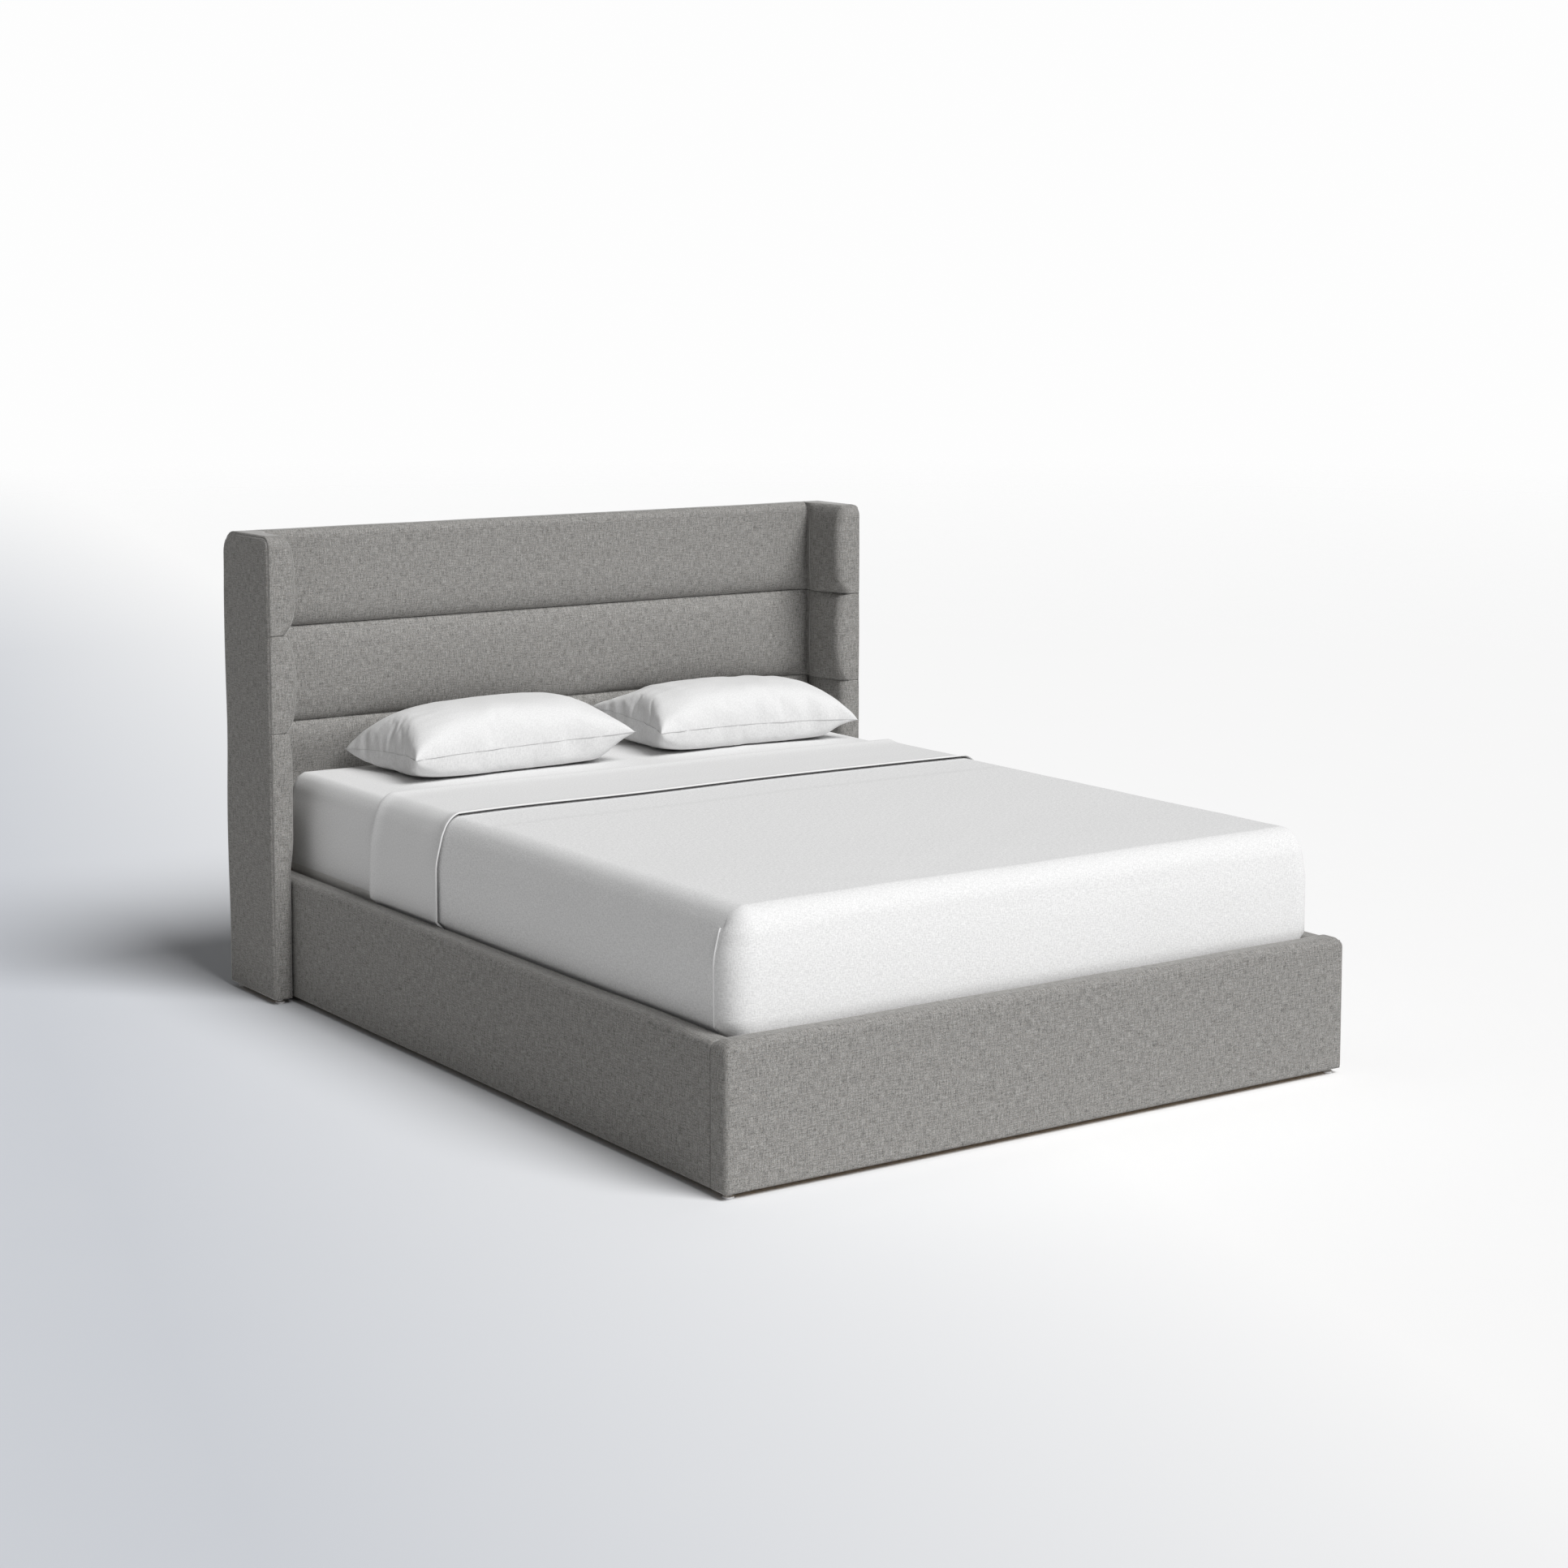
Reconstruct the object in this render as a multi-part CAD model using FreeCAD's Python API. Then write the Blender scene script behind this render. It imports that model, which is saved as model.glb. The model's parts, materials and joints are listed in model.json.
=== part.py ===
"""Queen-size upholstered bed with a winged, channelled headboard, a low box base and its bedding.

Frame: millimetres, origin on the floor at the middle of the footprint. +X is the right-hand
side seen from the foot, +Y runs from the foot to the head, +Z is up.
"""
import FreeCAD, Part
import os

# ---- overall size
HALF_WIDTH = 896.0        # outer face of each wing
HALF_LENGTH = 1100.0      # footboard face at -Y, back of the headboard at +Y
HEIGHT = 1168.0           # top of the headboard and wings
GROUND_GAP = 12.0         # the glides hold the upholstery this far off the floor

# ---- mattress and bedding
MATTRESS_HALF_WIDTH = 762.0
MATTRESS_LENGTH = 2032.0
MATTRESS_THICK = 290.0
MATTRESS_HEAD = 1000.0    # y of the mattress's head end
MATTRESS_CORNER = 48.0    # plan radius of its corners
MATTRESS_EDGE = 46.0      # radius along its top edge
SHEET_THICK = 2.0
BLANKET_THICK = 8.0
CUFF_THICK = 7.0
TUCK_BOTTOM = 275.0       # the bedding is tucked down to this height
FOLD_REAR = 505.0         # y where the blanket ends and the top sheet folds back over it
CUFF_FRONT = 160.0        # y of the folded sheet's hem

# ---- slatted platform
SLAT_THICK = 20.0
SLAT_WIDTH = 110.0
SLAT_COUNT = 10
SLAT_HALF_LENGTH = 797.0
SLAT_FIRST = -960.0       # y of the middle of the first and last slat
SLAT_LAST = 935.0
LEDGER_WIDTH = 30.0
LEDGER_HEIGHT = 40.0
TAPE_WIDTH = 25.0
TAPE_THICK = 1.5
TAPE_X = 450.0
BEAM_HALF_WIDTH = 22.5
BEAM_HEIGHT = 60.0
LEG_Y = 350.0             # centre legs stand this far to each side of the middle

# ---- side rails and footboard
RAIL_OUT = 840.0          # outer face of the rails and ends of the footboard
RAIL_THICK = 56.0
RAIL_TOP = 310.0
FOOT_TOP = 316.0
BOARD = 25.0              # core board thickness
RAIL_FOAM = 16.0          # padding outside a rail's core
FOOT_FOAM = 12.0          # padding in front of the footboard's core
END_FOAM = 10.0           # padding round the footboard's ends
TOP_FOAM = 12.0
INNER_FOAM_BOTTOM = 270.0 # the padding on the inner side stops above the slats
RAIL_ROUND = 14.0         # radius along padded edges

# ---- headboard
PAD_CROWN = 1003.0        # y of the front of the headboard channels
FACE_FRONT = 1043.0       # y of the face board's front
FACE_BACK = 1052.0
FRAME_BACK = 1092.0
FRAME_TOP = 1142.0
STILE_WIDTH = 100.0
PAD_HALF_WIDTH = 838.0
SEAM_LOW = 679.0          # height of the two horizontal seams
SEAM_HIGH = 922.0
PAD_BOTTOM = 316.0
CHANNEL_ROUND = 20.0
TOP_BACK_ROUND = 45.0
TOP_FRONT_ROUND = 18.0

# ---- wings
WING_FRONT = 837.0        # y of the wing's front face
WING_CORE_IN = 858.0
WING_CORE_OUT = 886.0
WING_CORE_FRONT = 848.0
WING_FLAT = 841.0         # x of the wing's inner face below the channels
WING_CROWN = 826.0        # x of the inner channels' crowns
WING_ROUND = 13.0
WING_PAD_REAR = 1002.0    # y where the inner channels meet the headboard channels

# ---- steel and fasteners
BRACKET_LEG = 50.0
BRACKET_THICK = 3.0
BRACKET_LOW = 70.0
BRACKET_HIGH = 190.0
BRACKET_BOLTS = (100.0, 160.0)
HANGER_THICK = 2.0
HANGER_HALF_WIDTH = 44.0
HANGER_DEPTH = 40.0
HANGER_BOLT_X = 33.0
HANGER_BOLT_Z = 212.0
BOLT_R = 4.0
BOLT_HOLE_R = 4.2
HEX_FLATS = 13.0
HEX_THICK = 5.3
BOLT_GRIP = 23.0          # shank length of a bracket or hanger bolt
WING_BOLT_GRIP = 120.0
WING_BOLT_Z = (330.0, 600.0, 1000.0)
WING_BOLT_Y = 1072.0
WASHER_R = 8.0
WASHER_THICK = 1.6

# ---- levelling glides
GLIDE_R = 12.5
GLIDE_BASE = 4.0
GLIDE_SHOULDER = 6.5
GLIDE_HEX_TOP = 11.0
STEM_R = 3.0
STEM_TOP = 40.0
TEE_BORE_R = 3.08
TEE_BARREL_R = 4.6
TEE_BARREL_TOP = 24.0
TEE_FLANGE_R = 10.5
TEE_FLANGE_THICK = 1.2
STEM_HOLE_R = 4.8
STEM_HOLE_TOP = 44.0

FOOT_INNER = -HALF_LENGTH + RAIL_THICK            # y of the footboard's inner face
FOOT_CORE_FRONT = -HALF_LENGTH + FOOT_FOAM
FOOT_CORE_BACK = FOOT_CORE_FRONT + BOARD
RAIL_CORE_OUT = RAIL_OUT - RAIL_FOAM
RAIL_CORE_IN = RAIL_CORE_OUT - BOARD
RAIL_IN = RAIL_OUT - RAIL_THICK
SLAT_BOTTOM = 245.0
SLAT_TOP = SLAT_BOTTOM + SLAT_THICK
MATTRESS_FOOT = MATTRESS_HEAD - MATTRESS_LENGTH
MATTRESS_TOP = SLAT_TOP + MATTRESS_THICK
SIDES = (("left", -1), ("right", 1))

GLIDES = {
    "glide_foot_left": (-817.0, (FOOT_CORE_FRONT + FOOT_CORE_BACK) / 2),
    "glide_foot_right": (817.0, (FOOT_CORE_FRONT + FOOT_CORE_BACK) / 2),
    "glide_wing_left_front": (-872.0, 862.0),
    "glide_wing_left_rear": (-872.0, 1078.0),
    "glide_wing_right_front": (872.0, 862.0),
    "glide_wing_right_rear": (872.0, 1078.0),
    "glide_centre_front": (0.0, -LEG_Y),
    "glide_centre_rear": (0.0, LEG_Y),
}


# ---- helpers

def point(x, y, z):
    return FreeCAD.Vector(x, y, z)


def box(x0, x1, y0, y1, z0, z1):
    """A box between two corners, whichever way round x0 and x1 are."""
    low, high = min(x0, x1), max(x0, x1)
    return Part.makeBox(high - low, y1 - y0, z1 - z0, point(low, y0, z0))


def rod(radius, base, along):
    """A cylinder from the point base, as long as the vector along."""
    return Part.makeCylinder(radius, along.Length, base, along)


def hexagon(flats, base, along):
    """A hexagonal prism across the given flats, from the point base, as long as along."""
    corners = Part.makePolygon([point(flats / 3 ** 0.5, 0, 0)] + [
        FreeCAD.Rotation(point(0, 0, 1), 60 * k).multVec(point(flats / 3 ** 0.5, 0, 0))
        for k in range(1, 6)] + [point(flats / 3 ** 0.5, 0, 0)])
    prism = Part.Face(corners).extrude(point(0, 0, along.Length))
    turn = FreeCAD.Rotation(point(0, 0, 1), along)
    prism.Placement = FreeCAD.Placement(base, turn)
    return prism


def mirrored(shape):
    return shape.mirror(point(0, 0, 0), point(1, 0, 0))


def sided(shape, side):
    """The right-hand shape as it is, or its mirror image on the left."""
    return shape if side > 0 else mirrored(shape)


def fillet_where(shape, radius, wanted):
    """Rounds the edges whose two ends (or all points, on a curve) satisfy wanted(point)."""
    chosen = [e for e in shape.Edges if all(wanted(v.Point) for v in e.Vertexes)]
    return shape.makeFillet(radius, chosen)


def arc_corner(centre, radius, start, end):
    """A quarter arc in the y-z plane at x = 0, through the middle of the corner."""
    middle = (start + end) * 0.5 - centre
    middle.normalize()
    return Part.Arc(start, centre + middle * radius, end).toShape()


def extruded(edges, x0, x1):
    """The closed outline in the y-z plane, extruded from x0 to x1."""
    face = Part.Face(Part.Wire(edges))
    face.translate(point(x0, 0, 0))
    return face.extrude(point(x1 - x0, 0, 0))


def outline(*steps):
    """Edges through the given y-z points; a step of three pairs is an arc's start, centre and end."""
    edges = []
    here = None
    for step in steps:
        if isinstance(step[0], tuple):
            start, centre, end = (point(0, *pair) for pair in step)
            if here is not None and (start - here).Length > 1e-6:
                edges.append(Part.makeLine(here, start))
            edges.append(arc_corner(centre, (start - centre).Length, start, end))
            here = end
        else:
            there = point(0, *step)
            if here is not None:
                edges.append(Part.makeLine(here, there))
            here = there
    first = edges[0].Vertexes[0].Point
    if (first - here).Length > 1e-6:
        edges.append(Part.makeLine(here, first))
    return edges


def top_back_height(y):
    """Height of the rounded top back edge at y."""
    centre_y = HALF_LENGTH - TOP_BACK_ROUND
    return HEIGHT - TOP_BACK_ROUND + (TOP_BACK_ROUND ** 2 - (y - centre_y) ** 2) ** 0.5


def top_back_arc(end_y):
    """The arc over the top back edge, from the flat top to end_y."""
    centre_y = HALF_LENGTH - TOP_BACK_ROUND
    return ((centre_y, HEIGHT), (centre_y, HEIGHT - TOP_BACK_ROUND), (end_y, top_back_height(end_y)))


def save(name, *shapes):
    """Writes one node; several shapes are separate solids of that node."""
    shape = shapes[0] if len(shapes) == 1 else Part.makeCompound(list(shapes))
    if not shape.isValid():
        raise ValueError(name + " is not a valid shape")
    shape.exportStep(os.path.join("parts", name + ".step"))


# ---- fasteners and glides

def bolt(head_base, direction, grip):
    """A hex bolt with a washer: head_base is on the clamped face, direction points into it."""
    outward = direction * -1
    washer_top = head_base + outward * WASHER_THICK
    head = hexagon(HEX_FLATS, washer_top, outward * HEX_THICK)
    washer = rod(WASHER_R, head_base, outward * WASHER_THICK)
    shank = rod(BOLT_R, head_base, direction * grip)
    return head.fuse([washer, shank]).removeSplitter()


def bolt_hole(head_base, direction, grip):
    """The clearance hole for bolt(), a little deeper than its shank."""
    return rod(BOLT_HOLE_R, head_base + direction * -1.0, direction * (grip + 3.0))


def corner_bolts():
    """(base, direction) of the bolts that hold the four corner brackets."""
    places = []
    for side in (-1, 1):
        for wall_y, into in ((FOOT_CORE_BACK, -1), (FACE_FRONT, 1)):
            for z in BRACKET_BOLTS:
                across = point(side * (RAIL_CORE_IN - BRACKET_LEG / 2), wall_y - into * BRACKET_THICK, z)
                places.append((across, point(0, into, 0)))
                along = point(side * (RAIL_CORE_IN - BRACKET_THICK), wall_y - into * BRACKET_LEG / 2, z)
                places.append((along, point(side, 0, 0)))
    return places


def hanger_bolts():
    """(base, direction) of the two bolts through each beam hanger."""
    return [(point(x, wall_y - into * HANGER_THICK, HANGER_BOLT_Z), point(0, into, 0))
            for wall_y, into in ((FOOT_CORE_BACK, -1), (FACE_FRONT, 1))
            for x in (-HANGER_BOLT_X, HANGER_BOLT_X)]


def wing_bolts():
    """(base, direction) of the three long bolts through each headboard stile into its wing."""
    return [(point(side * (WING_CORE_IN - STILE_WIDTH), WING_BOLT_Y, z), point(side, 0, 0))
            for side in (-1, 1) for z in WING_BOLT_Z]


def drilled(shape):
    """The shape with every bolt hole and glide socket that reaches it cut out."""
    tools = [bolt_hole(base, way, BOLT_GRIP) for base, way in corner_bolts() + hanger_bolts()]
    tools += [bolt_hole(base, way, WING_BOLT_GRIP) for base, way in wing_bolts()]
    tools += [glide_socket(x, y) for x, y in GLIDES.values()]
    reaching = [t for t in tools if t.BoundBox.intersect(shape.BoundBox)]
    return shape.cut(reaching) if reaching else shape


def glide_socket(x, y):
    """The drilled hole and shallow counterbore that a tee nut is driven into."""
    hole = rod(STEM_HOLE_R, point(x, y, GROUND_GAP - 1), point(0, 0, STEM_HOLE_TOP - GROUND_GAP + 1))
    seat = rod(TEE_FLANGE_R + 0.2, point(x, y, GROUND_GAP - 1), point(0, 0, 1 + TEE_FLANGE_THICK))
    return hole.fuse(seat)


def tee_nut(x, y):
    """A flanged, threaded barrel, flush with the underside of the wood."""
    flange = rod(TEE_FLANGE_R, point(x, y, GROUND_GAP), point(0, 0, TEE_FLANGE_THICK))
    barrel = rod(TEE_BARREL_R, point(x, y, GROUND_GAP), point(0, 0, TEE_BARREL_TOP - GROUND_GAP))
    bore = rod(TEE_BORE_R, point(x, y, GROUND_GAP - 1), point(0, 0, TEE_BARREL_TOP))
    return flange.fuse(barrel).cut(bore)


def glide(x, y):
    """A screw-in levelling glide: bevelled disc, hexagonal neck and plain stem."""
    base = Part.makeCone(GLIDE_R - 1, GLIDE_R, 1, point(x, y, 0), point(0, 0, 1))
    disc = rod(GLIDE_R, point(x, y, 1), point(0, 0, GLIDE_BASE - 1))
    shoulder = Part.makeCone(GLIDE_R, GLIDE_R - 4, GLIDE_SHOULDER - GLIDE_BASE,
                             point(x, y, GLIDE_BASE), point(0, 0, 1))
    neck = hexagon(HEX_FLATS, point(x, y, GLIDE_SHOULDER), point(0, 0, GLIDE_HEX_TOP - GLIDE_SHOULDER))
    stem = rod(STEM_R, point(x, y, GLIDE_HEX_TOP), point(0, 0, STEM_TOP - GLIDE_HEX_TOP))
    return base.fuse([disc, shoulder, neck, stem]).removeSplitter()


# ---- base

def footboard_core():
    half = RAIL_OUT - END_FOAM
    board = box(-half, half, FOOT_CORE_FRONT, FOOT_CORE_BACK, GROUND_GAP, FOOT_TOP - TOP_FOAM - 4)
    return drilled(board)


def footboard_cover():
    """Foam and fabric over the footboard's face, ends and top, open below."""
    wrap = box(-RAIL_OUT, RAIL_OUT, -HALF_LENGTH, FOOT_INNER, GROUND_GAP, FOOT_TOP)
    wrap = fillet_where(wrap, RAIL_ROUND, lambda p: p.z > FOOT_TOP - 1)
    wrap = fillet_where(wrap, 0.7 * RAIL_ROUND,
                        lambda p: p.y < 1 - HALF_LENGTH + RAIL_ROUND and abs(p.x) > RAIL_OUT - 1
                        and p.z < FOOT_TOP - RAIL_ROUND + 1)
    core_half = RAIL_OUT - END_FOAM
    core_top = FOOT_TOP - TOP_FOAM - 4
    hollow = [box(-core_half, core_half, FOOT_CORE_FRONT, FOOT_CORE_BACK, 0, core_top),
              box(-core_half, core_half, FOOT_CORE_BACK, FOOT_INNER, 0, INNER_FOAM_BOTTOM)]
    hollow += [box(side * RAIL_IN, side * core_half, FOOT_CORE_BACK, FOOT_INNER, 0, core_top)
               for side in (-1, 1)]
    return wrap.cut(hollow)


def side_rail_core():
    board = box(RAIL_CORE_IN, RAIL_CORE_OUT, FOOT_CORE_BACK, FACE_FRONT, GROUND_GAP, RAIL_TOP - TOP_FOAM)
    return drilled(board)


def side_rail_cover():
    """Foam and fabric over a rail's outer side and top, and down its inner side to the slats."""
    wrap = box(RAIL_IN, RAIL_OUT, FOOT_INNER, FACE_FRONT, GROUND_GAP, RAIL_TOP)
    wrap = fillet_where(wrap, RAIL_ROUND, lambda p: p.x > RAIL_OUT - 1 and p.z > RAIL_TOP - 1)
    wrap = fillet_where(wrap, 0.6 * RAIL_ROUND, lambda p: p.x < RAIL_IN + 1 and p.z > RAIL_TOP - 1)
    core = box(RAIL_CORE_IN, RAIL_CORE_OUT, FOOT_INNER - 1, FACE_FRONT + 1, 0, RAIL_TOP - TOP_FOAM)
    inside = box(RAIL_IN - 1, RAIL_CORE_IN, FOOT_INNER - 1, FACE_FRONT + 1, 0, INNER_FOAM_BOTTOM)
    return wrap.cut([core, inside])


def slat_ledger():
    end_gap = BRACKET_LEG / 2
    strip = box(RAIL_CORE_IN - LEDGER_WIDTH, RAIL_CORE_IN, FOOT_CORE_BACK + end_gap, FACE_FRONT - end_gap,
                SLAT_BOTTOM - LEDGER_HEIGHT, SLAT_BOTTOM)
    return strip.makeFillet(2.0, [e for e in strip.Edges if e.BoundBox.YLength > 100
                                  and e.BoundBox.XMax < RAIL_CORE_IN - 1])


def slats():
    """Each slat with softened long edges, first at the foot."""
    pitch = (SLAT_LAST - SLAT_FIRST) / (SLAT_COUNT - 1)
    made = []
    for k in range(SLAT_COUNT):
        middle = SLAT_FIRST + k * pitch
        slat = box(-SLAT_HALF_LENGTH, SLAT_HALF_LENGTH, middle - SLAT_WIDTH / 2, middle + SLAT_WIDTH / 2,
                   SLAT_BOTTOM, SLAT_TOP)
        made.append(slat.makeFillet(3.0, [e for e in slat.Edges if e.BoundBox.XLength > 100]))
    return made


def slat_tapes():
    """Two webbing tapes stapled under the slats to keep their spacing."""
    return [box(x - TAPE_WIDTH / 2, x + TAPE_WIDTH / 2, SLAT_FIRST - SLAT_WIDTH / 2,
                SLAT_LAST + SLAT_WIDTH / 2, SLAT_BOTTOM - TAPE_THICK, SLAT_BOTTOM)
            for x in (-TAPE_X, TAPE_X)]


def centre_beam():
    beam = box(-BEAM_HALF_WIDTH, BEAM_HALF_WIDTH, FOOT_CORE_BACK + HANGER_THICK, FACE_FRONT - HANGER_THICK,
               SLAT_BOTTOM - BEAM_HEIGHT, SLAT_BOTTOM)
    return beam.makeFillet(2.0, [e for e in beam.Edges if e.BoundBox.YLength > 100
                                 and e.BoundBox.ZMax > SLAT_BOTTOM - 1])


def centre_leg(y):
    leg = box(-BEAM_HALF_WIDTH, BEAM_HALF_WIDTH, y - BEAM_HALF_WIDTH, y + BEAM_HALF_WIDTH,
              GROUND_GAP, SLAT_BOTTOM - BEAM_HEIGHT)
    leg = leg.makeChamfer(3.0, [e for e in leg.Edges if e.BoundBox.ZLength > 100])
    return drilled(leg)


def beam_hanger(wall_y, into):
    """A pressed-steel cradle for one end of the centre beam."""
    def slab(x0, x1, near, far, z0, z1):
        ends = sorted((wall_y - into * near, wall_y - into * far))
        return box(x0, x1, ends[0], ends[1], z0, z1)
    beam_bottom = SLAT_BOTTOM - BEAM_HEIGHT
    outer = BEAM_HALF_WIDTH + HANGER_THICK
    plate = slab(-HANGER_HALF_WIDTH, HANGER_HALF_WIDTH, 0, HANGER_THICK, beam_bottom - 8, SLAT_BOTTOM - 8)
    cheeks = [slab(side * BEAM_HALF_WIDTH, side * outer, 0, HANGER_DEPTH, beam_bottom - HANGER_THICK,
                   SLAT_BOTTOM - 8) for side in (-1, 1)]
    floor = slab(-outer, outer, 0, HANGER_DEPTH, beam_bottom - HANGER_THICK, beam_bottom)
    return drilled(plate.fuse(cheeks + [floor]).removeSplitter())


def corner_bracket(side, wall_y, into):
    """A steel angle between a rail's core and the footboard or headboard."""
    near, far = sorted((wall_y, wall_y - into * BRACKET_THICK))
    across = box(side * (RAIL_CORE_IN - BRACKET_LEG), side * RAIL_CORE_IN, near, far, BRACKET_LOW, BRACKET_HIGH)
    near, far = sorted((wall_y, wall_y - into * BRACKET_LEG))
    along = box(side * (RAIL_CORE_IN - BRACKET_THICK), side * RAIL_CORE_IN, near, far, BRACKET_LOW, BRACKET_HIGH)
    return drilled(across.fuse(along).removeSplitter())


# ---- headboard

def stile():
    return drilled(box(WING_CORE_IN - STILE_WIDTH, WING_CORE_IN, FACE_BACK, FRAME_BACK, GROUND_GAP, FRAME_TOP))


def headboard_rail(z0, z1):
    half = WING_CORE_IN - STILE_WIDTH
    return box(-half, half, FACE_BACK, FRAME_BACK, z0, z1)


def face_board():
    return drilled(box(-WING_CORE_IN, WING_CORE_IN, FACE_FRONT, FACE_BACK, GROUND_GAP, FRAME_TOP))


def channel_pad(z0, z1):
    """One padded channel across the headboard, rounded where it is drawn in at its seams."""
    pad = box(-PAD_HALF_WIDTH, PAD_HALF_WIDTH, PAD_CROWN, FACE_FRONT, z0, z1)
    return fillet_where(pad, CHANNEL_ROUND, lambda p: p.y < PAD_CROWN + 1 and (p.z < z0 + 1 or p.z > z1 - 1))


def top_channel_pad():
    """The top channel, which runs over the top of the frame to the back."""
    edges = outline(
        ((PAD_CROWN + CHANNEL_ROUND, SEAM_HIGH), (PAD_CROWN + CHANNEL_ROUND, SEAM_HIGH + CHANNEL_ROUND),
         (PAD_CROWN, SEAM_HIGH + CHANNEL_ROUND)),
        ((PAD_CROWN, HEIGHT - TOP_FRONT_ROUND), (PAD_CROWN + TOP_FRONT_ROUND, HEIGHT - TOP_FRONT_ROUND),
         (PAD_CROWN + TOP_FRONT_ROUND, HEIGHT)),
        top_back_arc(FRAME_BACK),
        (FRAME_BACK, FRAME_TOP), (FACE_FRONT, FRAME_TOP), (FACE_FRONT, SEAM_HIGH))
    return extruded(edges, -PAD_HALF_WIDTH, PAD_HALF_WIDTH)


def back_cover():
    """Padded fabric panel over the back of the headboard and wings."""
    edges = outline(
        (FRAME_BACK, GROUND_GAP), (HALF_LENGTH, GROUND_GAP), (HALF_LENGTH, HEIGHT - TOP_BACK_ROUND),
        ((HALF_LENGTH, HEIGHT - TOP_BACK_ROUND), (HALF_LENGTH - TOP_BACK_ROUND, HEIGHT - TOP_BACK_ROUND),
         (FRAME_BACK, top_back_height(FRAME_BACK))))
    return extruded(edges, -WING_CORE_OUT, WING_CORE_OUT)


# ---- wings

def wing_core():
    core = box(WING_CORE_IN, WING_CORE_OUT, WING_CORE_FRONT, FRAME_BACK, GROUND_GAP, FRAME_TOP)
    return drilled(core)


def wing_hollows(z0, z1):
    """What a wing's inner padding leaves free: its core, the headboard frame and the headboard pads."""
    return [box(WING_CORE_IN, WING_CORE_OUT + 1, WING_CORE_FRONT, FRAME_BACK + 1, z0, min(z1, FRAME_TOP)),
            box(WING_CROWN - 1, WING_FLAT, WING_PAD_REAR, FRAME_BACK + 1, z0, z1),
            box(WING_FLAT - 1, WING_CORE_IN + 1, FACE_FRONT, FRAME_BACK + 1, z0, min(z1, FRAME_TOP))]


def wing_pad_top():
    edges = outline(
        (WING_FRONT, SEAM_HIGH),
        ((WING_FRONT, HEIGHT - TOP_FRONT_ROUND), (WING_FRONT + TOP_FRONT_ROUND, HEIGHT - TOP_FRONT_ROUND),
         (WING_FRONT + TOP_FRONT_ROUND, HEIGHT)),
        top_back_arc(FRAME_BACK),
        (FRAME_BACK, SEAM_HIGH))
    pad = extruded(edges, WING_CROWN, WING_CORE_OUT)
    pad = fillet_where(pad, WING_ROUND, lambda p: p.x < WING_CROWN + 1 and p.y < WING_FRONT + 1)
    return pad.cut(wing_hollows(SEAM_HIGH - 1, HEIGHT + 1))


def wing_pad(z0, z1, inner_x):
    """Padding over a wing's inner side and front edge, between two heights."""
    pad = box(inner_x, WING_CORE_OUT, WING_FRONT, FACE_FRONT, z0, z1)
    pad = fillet_where(pad, WING_ROUND, lambda p: p.x < inner_x + 1 and p.y < WING_FRONT + 1)
    return pad.cut(wing_hollows(z0 - 1, z1 + 1))


def wing_side_cover():
    """The flat padded panel on a wing's outer side, inside its top-stitched seam."""
    edges = outline(
        (WING_FRONT, GROUND_GAP),
        ((WING_FRONT, HEIGHT - TOP_FRONT_ROUND), (WING_FRONT + TOP_FRONT_ROUND, HEIGHT - TOP_FRONT_ROUND),
         (WING_FRONT + TOP_FRONT_ROUND, HEIGHT)),
        top_back_arc(HALF_LENGTH),
        (HALF_LENGTH, GROUND_GAP))
    return extruded(edges, WING_CORE_OUT, HALF_WIDTH)


# ---- mattress and bedding

def soft_block(grow, foot, head, bottom):
    """The mattress's rounded block grown by grow, between two y values, from bottom up."""
    half = MATTRESS_HALF_WIDTH + grow
    block = box(-half, half, MATTRESS_FOOT - grow, MATTRESS_HEAD + grow, bottom, MATTRESS_TOP + grow)
    block = block.makeFillet(MATTRESS_CORNER + grow, [e for e in block.Edges
                                                      if e.BoundBox.ZLength > 10 and e.BoundBox.XLength < 1
                                                      and e.BoundBox.YLength < 1])
    top = MATTRESS_TOP + grow
    block = block.makeFillet(MATTRESS_EDGE + grow, [e for e in block.Edges if e.BoundBox.ZMin > top - 1])
    return block.common(box(-half - 1, half + 1, foot, head, bottom, top + 1))


def mattress():
    block = soft_block(0, MATTRESS_FOOT, MATTRESS_HEAD, SLAT_TOP)
    return block.makeFillet(15.0, [e for e in block.Edges if e.BoundBox.ZMax < SLAT_TOP + 1])


def layer(inner_grow, thick, foot, head):
    """A shell of bedding over the mattress, tucked down its sides."""
    outer = soft_block(inner_grow + thick, foot, head, TUCK_BOTTOM)
    return outer.cut(soft_block(inner_grow, foot - 1, head + 1, TUCK_BOTTOM - 5))


def pillow(x, y):
    """A stuffed pillow, lying on the fitted sheet against the headboard."""
    wide, deep, high = 640.0, 370.0, 168.0
    base = MATTRESS_TOP + SHEET_THICK + 1
    block = box(x - wide / 2, x + wide / 2, y - deep / 2, y + deep / 2, base, base + high)
    return block.makeFillet(75.0, block.Edges)


PILLOWS = {"pillow_left": (-299.0, 803.0), "pillow_right": (426.0, 809.0)}


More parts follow.
